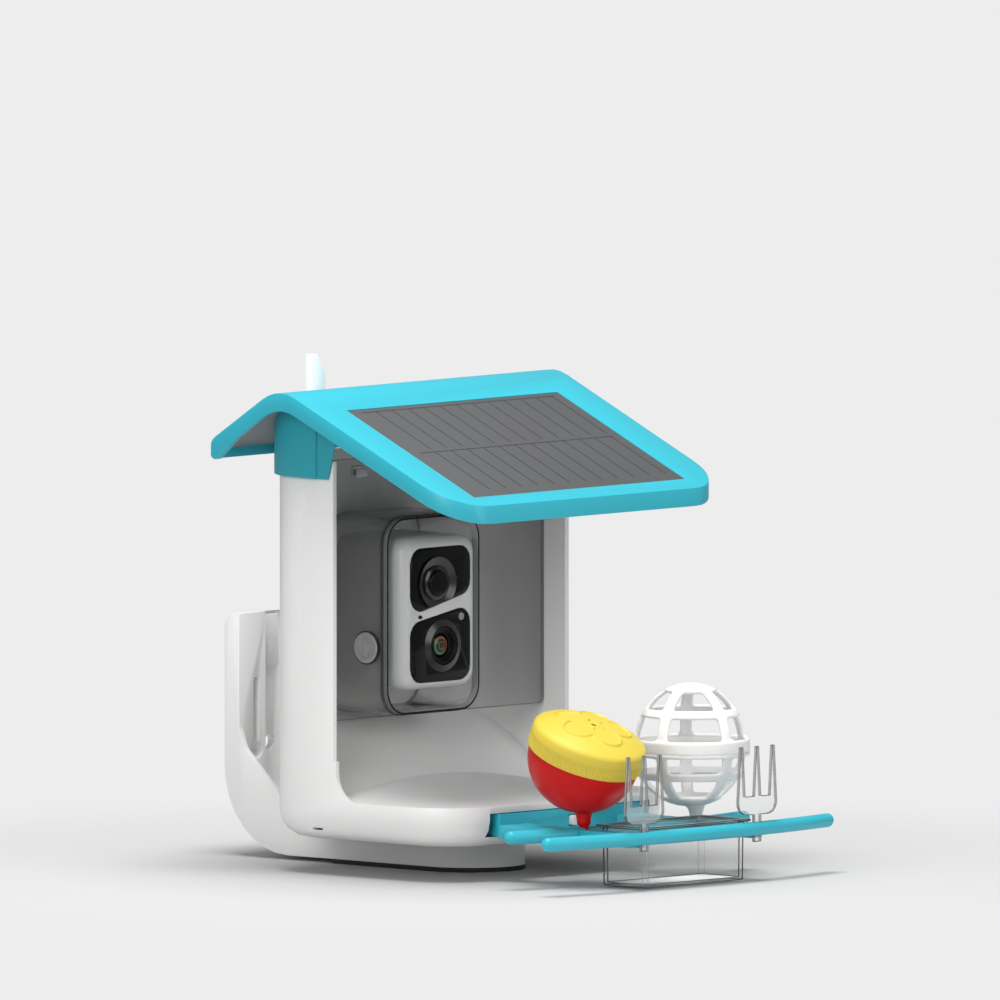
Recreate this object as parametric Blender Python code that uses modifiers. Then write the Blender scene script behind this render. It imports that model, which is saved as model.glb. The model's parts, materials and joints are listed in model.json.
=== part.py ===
"""Smart bird feeder with a solar roof, a camera in its seed house and a clip-on perch.

The model stands on its wall bracket's foot. X runs to the right (the model is symmetric
about X = 0 but for the feeders on the perch), the open front faces -Y and Z is up. The
origin lies on the floor, under the centre of the round foot. All lengths are in metres.
"""

import math

import bmesh
import bpy
from mathutils import Vector

COLLECTION_NAME = "smart_bird_feeder"

# Clearances and drawing steps
GAP = 0.0003
RUNNING_GAP = 0.0005
OVERRUN = 0.004
WELD = 0.000005
ARC_STEP = math.radians(11.25)
SMALL_ARC_STEP = math.radians(22.5)
SMALL_ARC_RADIUS = 0.0100
SHARP_ANGLE = math.radians(35)
TURN_STEPS = 36
BALL_TURN_STEPS = 24
SMALL_TURN_STEPS = 20
DOME_STEPS = 6
SMALL_DOME_STEPS = 4
BOTTOM_ROUND_STEPS = 3
CUTTER_REACH = 0.40

# Foot and wall bracket
PAD_THICKNESS = 0.0022
FOOT_RADIUS = 0.030
BASE_HEIGHT = 0.016
BASE_FLOOR = 0.005
BRACKET_REACH = 0.0795
PAD_BACK_Y = 0.0760
BRACKET_PLATE = 0.011
BRACKET_TOP_Z = 0.1315
BRACKET_TOP_RADIUS = 0.008
BRACKET_BEND_RADIUS = 0.047
BRACKET_WEB = 0.003
WEB_TOP_Z = 0.0695
WEB_KNEE_SETBACK = 0.0042
WEB_KNEE_Z = 0.0585
WEB_FOOT_SETBACK = 0.0475
WEB_ROUND = 0.008
POCKET_START_Y = 0.036
CHANNEL_WIDTH = 0.0186
CHANNEL_DEPTH = 0.0060
CHANNEL_FOOT_Z = 0.030
TONGUE_WIDTH = 0.0096
TONGUE_FOOT_Z = 0.1014
TONGUE_DEPTH = 0.0020
SLOT_SPREAD = 0.0165
SLOT_WIDTH = 0.0047
SLOT_TOP_Z = 0.0965
SLOT_HOLE_RADIUS = 0.0050
SLOT_HOLE_Z = 0.0570
CENTRE_HOLE_RADIUS = 0.0040
CENTRE_HOLE_Z = 0.0600

# Foot screw
SCREW_RADIUS = 0.0030
SCREW_HEAD_RADIUS = 0.0065
SCREW_HEAD_HEIGHT = 0.0035
SCREW_LENGTH = 0.022
BOSS_RADIUS = 0.0075
BOSS_HEIGHT = 0.009

# Seed house
BODY_HALF_WIDTH = 0.0926
BODY_HALF_DEPTH = 0.0750
BODY_CORNER = 0.0370
BODY_WALL = 0.0029
BODY_BOTTOM_ROUND = 0.0150
BODY_TOP_Z = 0.2249
BODY_CORNER_DROP = 0.0094
CORNER_CUT_Y = 0.0370
WALL_FRONT_Y = 0.0143
WALL_STEP = 0.0020
WALL_STEP_Z = 0.0625
FRONT_FILLET = 0.0150
RIM_Z = 0.0409
FRONT_SLOT_HALF_WIDTH = 0.0626
FRONT_SLOT_LOW_Z = 0.0244
FRONT_SLOT_TOP_Z = 0.0374
DRAIN_Y = 0.0286
DRAIN_LENGTH = 0.0075
DRAIN_HEIGHT = 0.0012
DRAIN_Z = 0.0244
DRAIN_REACH = 0.0120

# Seed ramp
RAMP_THICKNESS = 0.0016
RAMP_FRONT_Z = 0.0396
RAMP_CREASE_Y = 0.024
RAMP_CREASE_Z = 0.0500
RAMP_CREASE_DROP = 0.0105
RAMP_BACK_Z = 0.0820
RAMP_CELLS_X = 12
RAMP_CELLS_Y = 9

# Clear front panel, its camera window and the tunnel behind it
PANEL_Y = 0.0298
PANEL_THICKNESS = 0.0020
PANEL_LOW_Z = 0.0825
PANEL_TOP_DROP = 0.0009
PANEL_CORNER = 0.003
NOTCH_X = 0.056
NOTCH_DROP = 0.0065
NOTCH_WIDTH = 0.0075
NOTCH_HEIGHT = 0.0042
WINDOW_HALF_WIDTH = 0.0352
WINDOW_LOW_Z = 0.0840
WINDOW_TOP_Z = 0.1885
WINDOW_CORNER = 0.0130
BEZEL_WALL = 0.0011
BEZEL_PROUD = 0.0024
TUNNEL_WALL = 0.0020

# Camera
CAMERA_HALF_WIDTH = 0.0290
CAMERA_LOW_Z = 0.0960
CAMERA_TOP_Z = 0.1785
CAMERA_CORNER = 0.0090
CAMERA_FRONT_Y = 0.0220
CAMERA_FRONT_ROUND = 0.0060
CAMERA_REACH = 0.0330
CAMERA_WALL = 0.0024
MIC_X = -0.0160
MIC_Z = 0.1356
MIC_RADIUS = 0.0011
LENS_WINDOW_HALF_WIDTH = 0.0235
LENS_WINDOW_CORNER = 0.0080
LENS_WINDOW_THICKNESS = 0.0012
UPPER_WINDOW_TOP_Z = 0.1728
UPPER_WINDOW_LEFT_Z = 0.1366
UPPER_WINDOW_RIGHT_Z = 0.1478
LOWER_WINDOW_LOW_Z = 0.1000
LOWER_WINDOW_LEFT_Z = 0.1320
LOWER_WINDOW_RIGHT_Z = 0.1404
SENSOR_X = -0.0027
SENSOR_Z = 0.1535
SENSOR_RADIUS = 0.0095
SENSOR_BULGE = 0.0016
LENS_X = 0.0020
LENS_Z = 0.1192
LENS_RING_RADIUS = 0.0103
LENS_RING_DEPTH = 0.0120
LENS_GLASS_RADIUS = 0.0062
LENS_GLASS_CROWN = 0.0012
LIGHT_X = 0.0169
LIGHT_Z = 0.1343
LIGHT_RADIUS = 0.0021
BOARD_Y = 0.0520
BOARD_THICKNESS = 0.0016
BATTERY_Y = 0.0700
BATTERY_RADIUS = 0.0092
BATTERY_PITCH = 0.0184
BATTERY_LENGTH = 0.0650
BATTERY_ROUND_SHARE = 0.98
BACK_COVER_THICKNESS = 0.0026
BUTTON_X = 0.0140
BUTTON_Z = 0.1290
BUTTON_RADIUS = 0.0045
BUTTON_PROUD = 0.0016
PORT_X = -0.0140
PORT_Z = 0.1290
PORT_COVER_WIDTH = 0.0160
PORT_COVER_HEIGHT = 0.0100
PORT_COVER_THICKNESS = 0.0018
PORT_WIDTH = 0.0100
PORT_HEIGHT = 0.0045
PORT_ROUND_SHARE = 0.45
KNOB_Y = 0.0403
KNOB_Z = 0.1195
KNOB_RADIUS = 0.0084
KNOB_THICKNESS = 0.0028
KNOB_SHAFT_RADIUS = 0.0030

# Antenna and its hinge
ANTENNA_SETBACK = 0.0072
ANTENNA_PIVOT_Z = 0.1690
ANTENNA_TOP_Z = 0.2722
ANTENNA_WIDTH = 0.0104
ANTENNA_THICKNESS = 0.0050
ANTENNA_CHAMFER_WIDTH = 0.0061
ANTENNA_CHAMFER_HEIGHT = 0.0114
ANTENNA_LUG = 0.0026
ANTENNA_LUG_RADIUS = 0.0046
ANTENNA_PIN_RADIUS = 0.0012

# Roof
ROOF_SIDE_OVERHANG = 0.0144
EAVE_OVERHANG = 0.0165
EAVE_DROP = 0.0184
RIDGE_SETBACK = 0.0333
RIDGE_RISE = 0.0400
RIDGE_ROUND = 0.0250
BACK_EAVE_REACH = 0.0087
BACK_EAVE_RISE = 0.0078
BACK_EAVE_DROP = 0.0074
ROOF_BAND_SETBACK = 0.0205
BACK_EAVE_LOW_ROUND = 0.0045
BACK_EAVE_ROUND = 0.0090
ROOF_BAND = 0.0098
ROOF_FRONT_CORNER = 0.0265
ROOF_BACK_CORNER = 0.0020
ROOF_TOP_WALL = 0.0044
ROOF_SIDE_WALL = 0.0030
LINER_THICKNESS = 0.0016
SOLAR_HALF_WIDTH = 0.0825
SOLAR_LENGTH = 0.1033
SOLAR_CENTRE_Y = -0.0342
SOLAR_THICKNESS = 0.0020
SOLAR_SUNK = 0.0002

# Roof cheeks and hinge
CHEEK_GAP = 0.0005
CHEEK_WALL = 0.0025
CHEEK_LAP = 0.0002
CHEEK_FLANGE_RISE = 0.0227
CHEEK_CREASE_Y = 0.0245
CHEEK_FLANGE_WALL = 0.0013
CHEEK_FLANGE_LOW_Y = 0.0168
CHEEK_FLANGE_HIGH_Y = 0.0104
HINGE_REACH = 0.0090
HINGE_DROP = 0.0009
HINGE_PIN_RADIUS = 0.0015
HINGE_INSET = 0.0014
HINGE_KNUCKLE_LENGTH = 0.0045
HINGE_LUG_LENGTH = 0.0085
HINGE_LUG_FOOT = 0.0059
HINGE_LUG_RADIUS = 0.0038
HINGE_LUG_ARC_END = math.radians(110)

# Perch carrier, bars and release button
CARRIER_HALF_WIDTH = 0.0567
CARRIER_LOW_Z = 0.0249
CARRIER_TOP_Z = 0.0369
CARRIER_PROUD = 0.0012
CARRIER_LENGTH = 0.0282
CARRIER_WALL = 0.0022
ARM_X = 0.0460
ARM_WIDTH = 0.0090
ARM_ROOT_WIDTH = 0.0220
ARM_ROOT_LENGTH = 0.0200
ARM_LOW_Z = 0.0235
ARM_TOP_Z = 0.0310
BAR_RADIUS = 0.0038
BACK_BAR_Z = 0.0286
BACK_BAR_HALF_LENGTH = 0.0910
BACK_BAR_REACH = 0.0408
BACK_BAR_BOW = 0.0125
FRONT_BAR_Z = 0.0286
FRONT_BAR_HALF_LENGTH = 0.1095
FRONT_BAR_REACH = 0.0858
FRONT_BAR_BOW = 0.0115
BAR_POINTS = 11
RELEASE_WIDTH = 0.0045
RELEASE_HEIGHT = 0.0052
RELEASE_Z = 0.0305
RELEASE_PROUD = 0.0024
RELEASE_LENGTH = 0.0100

# Jelly cup
CUP_REACH = 0.0752
CUP_RIM_HALF_WIDTH = 0.0421
CUP_RIM_HALF_DEPTH = 0.0193
CUP_RIM_THICKNESS = 0.0014
CUP_RIM_Z = 0.0341
CUP_TOP_HALF_WIDTH = 0.0395
CUP_TOP_HALF_DEPTH = 0.0165
CUP_TAPER_SHARE = 0.99
CUP_LOW_Z = 0.0010
CUP_WALL = 0.0014
CUP_CORNER = 0.0025

# Fruit forks
FORK_X = 0.0443
FORK_Y = -0.1722
FORK_THICKNESS = 0.0024
FORK_WIDTH = 0.0320
FORK_BASE_LOW_Z = 0.0362
FORK_BASE_TOP_Z = 0.0464
FORK_TIP_Z = 0.0734
FORK_TINE_WIDTH = 0.0055
FORK_TIP_WIDTH = 0.0020
FORK_TINE_PITCH = 0.0123
FORK_BASE_CORNER = 0.0070
FORK_PEG_WIDTH = 0.0056
FORK_PEG_THICKNESS = 0.0020
FORK_PEG_LOW_Z = 0.0215

# Nectar feeder
NECTAR_X = -0.0440
BOWL_RADIUS = 0.0305
BOWL_CENTRE_Z = 0.0700
BOWL_WALL = 0.0020
BOWL_TILT = math.radians(-22.5)
STEM_RADIUS = 0.0039
STEM_HEAD_RADIUS = 0.0049
STEM_FOOT_RADIUS = 0.0030
PEG_RADIUS = 0.0025
PEG_DEPTH = 0.0045
CAP_RADIUS = 0.0318
CAP_HEIGHT = 0.0130
CAP_WALL = 0.0020
CAP_CROWN = 0.0065
CAP_CROWN_SHARE = 3
CAP_HOLE_RADIUS = 0.0020

# Suet cage
SUET_X = 0.0440
CAGE_RADIUS = 0.0315
CAGE_CENTRE_Z = 0.0678
CAGE_SETBACK = 0.0040
CAGE_LID_RISE = 0.0374
CAGE_LID_BAND = 0.0217
CAGE_LID_CAP = 0.0335
CAGE_BASE_DROP = 0.0300
CAGE_BASE_BAND = 0.0130
CAGE_BASE_CAP = 0.0250
CAGE_WALL = 0.0026
CAGE_RING_RADIUS = 0.0322
CAGE_LID_RING = 0.0074
CAGE_BASE_RING = 0.0020
CAGE_RIBS = 5
WEDGE_STEPS = 4
CAGE_RIB_WIDTH = 0.0066
CAGE_RIB_PHASE = math.radians(-90.0 - 5.5)
CAGE_BAND_HEIGHT = 0.0042
CAGE_STEM_RADIUS = 0.0032
CAGE_STEM_HEAD_RADIUS = 0.0064

# Places worked out from the sizes above
BASE_LOW_Z = PAD_THICKNESS + GAP
BRACKET_BACK_Y = BODY_HALF_DEPTH + BRACKET_REACH
BASE_TOP_Z = BASE_LOW_Z + BASE_HEIGHT
BODY_LOW_Z = BASE_TOP_Z + GAP
BODY_FLOOR_Z = BODY_LOW_Z + BODY_WALL
BEND_END_Y = BRACKET_BACK_Y - BRACKET_BEND_RADIUS
PLATE_FRONT_Y = BRACKET_BACK_Y - BRACKET_PLATE
PANEL_BACK_Y = PANEL_Y + PANEL_THICKNESS
INNER_BACK_Y = BODY_HALF_DEPTH - BODY_WALL
TUNNEL_HALF_WIDTH = WINDOW_HALF_WIDTH + TUNNEL_WALL
BODY_CORNER_TOP_Z = BODY_TOP_Z - BODY_CORNER_DROP
PANEL_TOP_Z = BODY_TOP_Z - PANEL_TOP_DROP
NOTCH_Z = PANEL_TOP_Z - NOTCH_DROP
CAMERA_BACK_Y = BODY_HALF_DEPTH + CAMERA_REACH
ANTENNA_Y = CAMERA_BACK_Y + ANTENNA_SETBACK
HINGE_Y = BODY_HALF_DEPTH + HINGE_REACH
HINGE_Z = BODY_TOP_Z - HINGE_DROP
HINGE_KNUCKLE_INNER_X = BODY_HALF_WIDTH - BODY_CORNER + HINGE_INSET
HINGE_KNUCKLE_OUTER_X = HINGE_KNUCKLE_INNER_X + HINGE_KNUCKLE_LENGTH
HINGE_LUG_OUTER_X = HINGE_KNUCKLE_INNER_X - RUNNING_GAP
HINGE_LUG_INNER_X = HINGE_LUG_OUTER_X - HINGE_LUG_LENGTH
HINGE_LUG_FOOT_Z = BODY_TOP_Z - HINGE_LUG_FOOT
CHEEK_LOW_Z = BODY_CORNER_TOP_Z - CHEEK_LAP
CHEEK_FLANGE_HIGH_Z = CHEEK_LOW_Z + CHEEK_FLANGE_RISE
ROOF_HALF_WIDTH = BODY_HALF_WIDTH + ROOF_SIDE_OVERHANG
EAVE_Y = -BODY_HALF_DEPTH - EAVE_OVERHANG
EAVE_TOP_Z = BODY_TOP_Z - EAVE_DROP
RIDGE_Y = BODY_HALF_DEPTH - RIDGE_SETBACK
RIDGE_Z = BODY_TOP_Z + RIDGE_RISE
BACK_EAVE_Y = HINGE_Y + BACK_EAVE_REACH
BACK_EAVE_TOP_Z = BODY_TOP_Z + BACK_EAVE_RISE
BACK_EAVE_LOW_Z = BODY_TOP_Z - BACK_EAVE_DROP
ROOF_BAND_END_Y = BACK_EAVE_Y - ROOF_BAND_SETBACK
CARRIER_FRONT_Y = -BODY_HALF_DEPTH - CARRIER_PROUD
CARRIER_BACK_Y = CARRIER_FRONT_Y + CARRIER_LENGTH
BACK_BAR_END_Y = CARRIER_FRONT_Y - BACK_BAR_REACH
FRONT_BAR_END_Y = CARRIER_FRONT_Y - FRONT_BAR_REACH
CUP_Y = CARRIER_FRONT_Y - CUP_REACH
ROOF_SLOPE = (RIDGE_Z - EAVE_TOP_Z) / (RIDGE_Y - EAVE_Y)
BACK_SLOPE = (RIDGE_Z - BACK_EAVE_TOP_Z) / (BACK_EAVE_Y - RIDGE_Y)
BACK_COVER_Y = CAMERA_BACK_Y + GAP
SHELL_COLORS = {
    "teal": (0.036, 0.39, 0.52), "white": (0.80, 0.80, 0.79), "grey": (0.33, 0.33, 0.33),
    "clear": (0.86, 0.90, 0.90), "black": (0.008, 0.008, 0.009), "solar": (0.16, 0.16, 0.165),
    "red": (0.58, 0.012, 0.014), "yellow": (0.95, 0.78, 0.08), "rubber": (0.02, 0.02, 0.02),
    "steel": (0.55, 0.55, 0.56), "green": (0.02, 0.16, 0.06), "battery": (0.05, 0.12, 0.35),
    "lens": (0.02, 0.05, 0.05), "pale": (0.72, 0.73, 0.73),
}
# Roughness, metallic value and transmission weight of each finish
FINISH_SHARES = {
    "teal": (0.38, 0, 0), "white": (0.36, 0, 0), "grey": (0.5, 0, 0), "clear": (0.06, 0, 0.9),
    "black": (0.05, 0, 0), "solar": (0.45, 0, 0), "red": (0.3, 0, 0), "yellow": (0.4, 0, 0),
    "rubber": (0.75, 0, 0), "steel": (0.3, 1, 0), "green": (0.5, 0, 0), "battery": (0.4, 0, 0),
    "lens": (0.02, 0, 0.3), "pale": (0.3, 0, 0.2),
}
ALONG_X = (math.pi / 2, 0, math.pi / 2)
ALONG_Y = (math.pi / 2, 0, 0)
UPRIGHT = (0, 0, 0)


def start_scene():
    """Empty the scene and return the collections for the parts and for the cutters."""
    for old in list(bpy.data.objects):
        bpy.data.objects.remove(old)
    parts = bpy.data.collections.new(COLLECTION_NAME)
    cutters = bpy.data.collections.new("cutters")
    bpy.context.scene.collection.children.link(parts)
    bpy.context.scene.collection.children.link(cutters)
    return parts, cutters


PARTS, CUTTERS = start_scene()


def finish_material(piece, finish):
    """Give a piece its own Principled material in the colour of its finish."""
    material = bpy.data.materials.new(piece.name + "_" + finish)
    material.use_nodes = True
    shader = material.node_tree.nodes["Principled BSDF"]
    roughness, metallic, transmission = FINISH_SHARES[finish]
    shader.inputs["Base Color"].default_value = (*SHELL_COLORS[finish], 1)
    shader.inputs["Roughness"].default_value = roughness
    shader.inputs["Metallic"].default_value = metallic
    shader.inputs["Transmission Weight"].default_value = transmission
    piece.data.materials.append(material)


def add_part(name, mesh, finish):
    """Link a mesh as a named sub-part, smooth but for its sharp edges."""
    piece = bpy.data.objects.new(name, mesh)
    PARTS.objects.link(piece)
    if finish:
        finish_material(piece, finish)
    mesh.shade_smooth()
    mesh.set_sharp_from_angle(angle=SHARP_ANGLE)
    return piece


def as_cutter(piece):
    """Move a piece to the cutters, where it is a wire that the build leaves out."""
    PARTS.objects.unlink(piece)
    CUTTERS.objects.link(piece)
    piece.hide_render = True
    piece.display_type = "WIRE"


def combine(target, other, operation):
    """Cut, join or trim the target by another piece."""
    modifier = target.modifiers.new(other.name, "BOOLEAN")
    modifier.operation = operation
    modifier.solver = "EXACT"
    modifier.object = other
    as_cutter(other)


def cut(target, *others):
    for other in others:
        combine(target, other, "DIFFERENCE")


def fuse(target, *others):
    for other in others:
        combine(target, other, "UNION")


def trim(target, other):
    combine(target, other, "INTERSECT")


def rounded(corners):
    """Points of a closed outline whose corners (x, y, radius) are rounded by arcs."""
    points = []
    for index, (x, y, radius) in enumerate(corners):
        corner = Vector((x, y))
        if radius == 0:
            points.append(corner)
            continue
        arm_in = (Vector(corners[index - 1][:2]) - corner).normalized()
        arm_out = (Vector(corners[(index + 1) % len(corners)][:2]) - corner).normalized()
        half_angle = arm_in.angle(arm_out) / 2
        centre = corner + (arm_in + arm_out).normalized() * (radius / math.sin(half_angle))
        spoke = corner + arm_in * (radius / math.tan(half_angle)) - centre
        sweep = math.pi - 2 * half_angle
        if arm_in.cross(arm_out) > 0:
            sweep = -sweep
        arc_step = ARC_STEP if radius > SMALL_ARC_RADIUS else SMALL_ARC_STEP
        steps = max(2, math.ceil(abs(sweep) / arc_step))
        for step in range(steps + 1):
            angle = sweep * step / steps
            turned_x = spoke.x * math.cos(angle) - spoke.y * math.sin(angle)
            turned_y = spoke.x * math.sin(angle) + spoke.y * math.cos(angle)
            points.append(centre + Vector((turned_x, turned_y)))
    return points


def rectangle(low_x, high_x, low_y, high_y, radius=0):
    """A rectangle outline with four equal corners."""
    return rounded([(low_x, low_y, radius), (high_x, low_y, radius),
                    (high_x, high_y, radius), (low_x, high_y, radius)])


def circle(centre_x, centre_y, radius, steps=SMALL_TURN_STEPS):
    """Points of a round outline."""
    angles = [2 * math.pi * step / steps for step in range(steps)]
    return [Vector((centre_x + radius * math.cos(a), centre_y + radius * math.sin(a))) for a in angles]


def mesh_from_curve(name, curve):
    """Turn a curve into a closed mesh with its caps welded on."""
    drawn = bpy.data.objects.new(name + "_curve", curve)
    bpy.context.scene.collection.objects.link(drawn)
    bpy.context.view_layer.update()
    evaluated = drawn.evaluated_get(bpy.context.evaluated_depsgraph_get())
    mesh = bpy.data.meshes.new_from_object(evaluated)
    mesh.name = name
    bpy.data.objects.remove(drawn)
    work = bmesh.new()
    work.from_mesh(mesh)
    bmesh.ops.remove_doubles(work, verts=work.verts, dist=WELD)
    bmesh.ops.recalc_face_normals(work, faces=work.faces)
    work.to_mesh(mesh)
    work.free()
    mesh.materials.clear()
    return mesh


def plate(name, outlines, low, high, finish=None, turn=UPRIGHT, edge=0.0, edge_steps=2):
    """A flat piece from closed outlines, between two heights along its own normal.

    The turn lays the outline's plane: upright keeps it level, along X or Y stands it up.
    A rounded edge is drawn inside the outline, so the size stays as it was drawn.
    """
    curve = bpy.data.curves.new(name, "CURVE")
    curve.dimensions = "2D"
    curve.fill_mode = "BOTH"
    curve.extrude = (high - low) / 2 - edge
    curve.bevel_depth = edge
    curve.bevel_resolution = edge_steps
    curve.offset = -edge
    for outline in outlines:
        spline = curve.splines.new("POLY")
        spline.points.add(len(outline) - 1)
        for point, place in zip(spline.points, outline):
            point.co = (place.x, place.y, 0, 1)
        spline.use_cyclic_u = True
    piece = add_part(name, mesh_from_curve(name, curve), finish)
    piece.rotation_euler = turn
    middle = (low + high) / 2
    piece.location = {UPRIGHT: (0, 0, middle), ALONG_X: (middle, 0, 0), ALONG_Y: (0, middle, 0)}[turn]
    return piece


def tube(name, places, radius, finish=None, sides=4):
    """A round bar through the given places, with flat caps."""
    curve = bpy.data.curves.new(name, "CURVE")
    curve.dimensions = "3D"
    curve.bevel_depth = radius
    curve.bevel_resolution = sides
    curve.use_fill_caps = True
    spline = curve.splines.new("POLY")
    spline.points.add(len(places) - 1)
    for point, place in zip(spline.points, places):
        point.co = (*place, 1)
    return add_part(name, mesh_from_curve(name, curve), finish)


def turned(name, profile, finish=None, place=(0, 0, 0), turn=UPRIGHT, steps=SMALL_TURN_STEPS,
           closed=False):
    """A turned piece: its profile of (radius, height) runs down its outer side."""
    mesh = bpy.data.meshes.new(name)
    edges = [(step, step + 1) for step in range(len(profile) - 1)]
    if closed:
        edges.append((len(profile) - 1, 0))
    mesh.from_pydata([(radius, 0, height) for radius, height in profile], edges, [])
    piece = add_part(name, mesh, finish)
    screw = piece.modifiers.new("turn", "SCREW")
    screw.axis = "Z"
    screw.steps = steps
    screw.render_steps = steps
    screw.use_merge_vertices = True
    screw.merge_threshold = WELD
    screw.use_smooth_shade = True
    piece.location = place
    piece.rotation_euler = turn
    return piece


def rod(name, radius, start, end, finish=None, steps=SMALL_TURN_STEPS):
    """A straight round pin from one place to another along an axis of the model."""
    start = Vector(start)
    end = Vector(end)
    length = (end - start).length
    profile = [(0, length), (radius, length), (radius, 0), (0, 0)]
    piece = turned(name, profile, finish, start, steps=steps)
    piece.rotation_euler = (end - start).to_track_quat("Z", "Y").to_euler()
    return piece


def box(name, low, high, finish=None):
    """A plain box between two corners."""
    bpy.ops.mesh.primitive_cube_add(size=1)
    drawn = bpy.context.object
    mesh = drawn.data
    mesh.name = name
    bpy.data.objects.remove(drawn)
    low = Vector(low)
    high = Vector(high)
    for vertex in mesh.vertices:
        vertex.co = [vertex.co[axis] * (high[axis] - low[axis]) for axis in range(3)]
    piece = add_part(name, mesh, finish)
    piece.location = (low + high) / 2
    return piece


def body_outline(inset, corner=BODY_CORNER):
    """Plan outline of the seed house, moved in by a distance."""
    return rectangle(inset - BODY_HALF_WIDTH, BODY_HALF_WIDTH - inset,
                     inset - BODY_HALF_DEPTH, BODY_HALF_DEPTH - inset, corner - inset)


def make_pad():
    """Rubber pad under the foot and the base bar."""
    outline = rounded([(-FOOT_RADIUS, -FOOT_RADIUS, FOOT_RADIUS), (FOOT_RADIUS, -FOOT_RADIUS, FOOT_RADIUS),
                       (FOOT_RADIUS, PAD_BACK_Y, BRACKET_WEB), (-FOOT_RADIUS, PAD_BACK_Y, BRACKET_WEB)])
    plate("base_pad", [outline], 0, PAD_THICKNESS, "rubber")


def keyhole(sign):
    """Outline of one keyhole slot of the bracket's plate: a slot that runs up from a round hole."""
    x = sign * SLOT_SPREAD
    half = SLOT_WIDTH / 2
    reach = math.asin(half / SLOT_HOLE_RADIUS)
    steps = SMALL_TURN_STEPS
    points = []
    for step in range(steps + 1):
        angle = math.pi / 2 + reach + (2 * math.pi - 2 * reach) * step / steps
        points.append(Vector((x + SLOT_HOLE_RADIUS * math.cos(angle),
                              SLOT_HOLE_Z + SLOT_HOLE_RADIUS * math.sin(angle))))
    for step in range(steps // 2 + 1):
        angle = math.pi * step / (steps // 2)
        points.append(Vector((x + half * math.cos(angle), SLOT_TOP_Z - half + half * math.sin(angle))))
    return points


def make_bracket():
    """Wall bracket: round foot, base bar, bend and upright plate with side webs."""
    side = rounded([(0, BASE_LOW_Z, 0), (BRACKET_BACK_Y, BASE_LOW_Z, BRACKET_BEND_RADIUS),
                    (BRACKET_BACK_Y, BRACKET_TOP_Z, BRACKET_TOP_RADIUS),
                    (PLATE_FRONT_Y, BRACKET_TOP_Z, 0), (PLATE_FRONT_Y, WEB_TOP_Z, WEB_ROUND),
                    (PLATE_FRONT_Y - WEB_KNEE_SETBACK, WEB_KNEE_Z, WEB_ROUND),
                    (PLATE_FRONT_Y - WEB_FOOT_SETBACK, BASE_TOP_Z, WEB_ROUND), (0, BASE_TOP_Z, 0)])
    bracket = plate("wall_bracket", [side], -FOOT_RADIUS, FOOT_RADIUS, "white", ALONG_X)
    foot = turned("foot_disc", [(0, BASE_TOP_Z), (FOOT_RADIUS, BASE_TOP_Z), (FOOT_RADIUS, BASE_LOW_Z),
                                (0, BASE_LOW_Z)], steps=TURN_STEPS)
    fuse(bracket, foot)
    pocket_side = [Vector((POCKET_START_Y, BASE_LOW_Z + BASE_FLOOR)),
                   Vector((BEND_END_Y, BASE_LOW_Z + BASE_FLOOR)),
                   Vector((PLATE_FRONT_Y, BASE_LOW_Z + BRACKET_BEND_RADIUS - BRACKET_PLATE)),
                   Vector((PLATE_FRONT_Y, BRACKET_TOP_Z + OVERRUN)),
                   Vector((POCKET_START_Y, BRACKET_TOP_Z + OVERRUN))]
    half_pocket = FOOT_RADIUS - BRACKET_WEB
    cut(bracket, plate("bracket_pocket", [pocket_side], -half_pocket, half_pocket, turn=ALONG_X))
    channel = plate("bracket_channel", [rectangle(-CHANNEL_WIDTH / 2, CHANNEL_WIDTH / 2, CHANNEL_FOOT_Z,
                                                  BRACKET_TOP_Z + OVERRUN)],
                    PLATE_FRONT_Y - OVERRUN, PLATE_FRONT_Y + CHANNEL_DEPTH, turn=ALONG_Y)
    cut(bracket, channel)
    tongue = plate("bracket_tongue", [rectangle(-TONGUE_WIDTH / 2, TONGUE_WIDTH / 2, TONGUE_FOOT_Z,
                                                BRACKET_TOP_Z - TONGUE_DEPTH)],
                   PLATE_FRONT_Y + CHANNEL_DEPTH - TONGUE_DEPTH, BRACKET_BACK_Y - TONGUE_DEPTH,
                   turn=ALONG_Y)
    fuse(bracket, tongue)
    holes = [keyhole(-1), keyhole(1), circle(0, CENTRE_HOLE_Z, CENTRE_HOLE_RADIUS)]
    cut(bracket, plate("bracket_holes", holes, PLATE_FRONT_Y - OVERRUN, BRACKET_BACK_Y + OVERRUN,
                       turn=ALONG_Y))
    head_depth = BASE_LOW_Z + SCREW_HEAD_HEIGHT + GAP
    bore = turned("foot_bore", [(0, BASE_TOP_Z + OVERRUN), (SCREW_RADIUS + GAP, BASE_TOP_Z + OVERRUN),
                                (SCREW_RADIUS + GAP, head_depth), (SCREW_HEAD_RADIUS + GAP, head_depth),
                                (SCREW_HEAD_RADIUS + GAP, -OVERRUN), (0, -OVERRUN)])
    cut(bracket, bore)


def make_foot_screw():
    """Screw that holds the seed house on the foot, its head let into the base."""
    head_top = BASE_LOW_Z + SCREW_HEAD_HEIGHT
    screw = turned("foot_screw", [(0, BASE_LOW_Z + SCREW_LENGTH), (SCREW_RADIUS, BASE_LOW_Z + SCREW_LENGTH),
                                  (SCREW_RADIUS, head_top), (SCREW_HEAD_RADIUS, head_top),
                                  (SCREW_HEAD_RADIUS, BASE_LOW_Z), (0, BASE_LOW_Z)], "steel")
    half = SCREW_RADIUS / 4
    cross = box("screw_slot", (-SCREW_HEAD_RADIUS - OVERRUN, -half, BASE_LOW_Z - OVERRUN),
                (SCREW_HEAD_RADIUS + OVERRUN, half, BASE_LOW_Z + SCREW_HEAD_HEIGHT / 2))
    cut(screw, cross)


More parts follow.
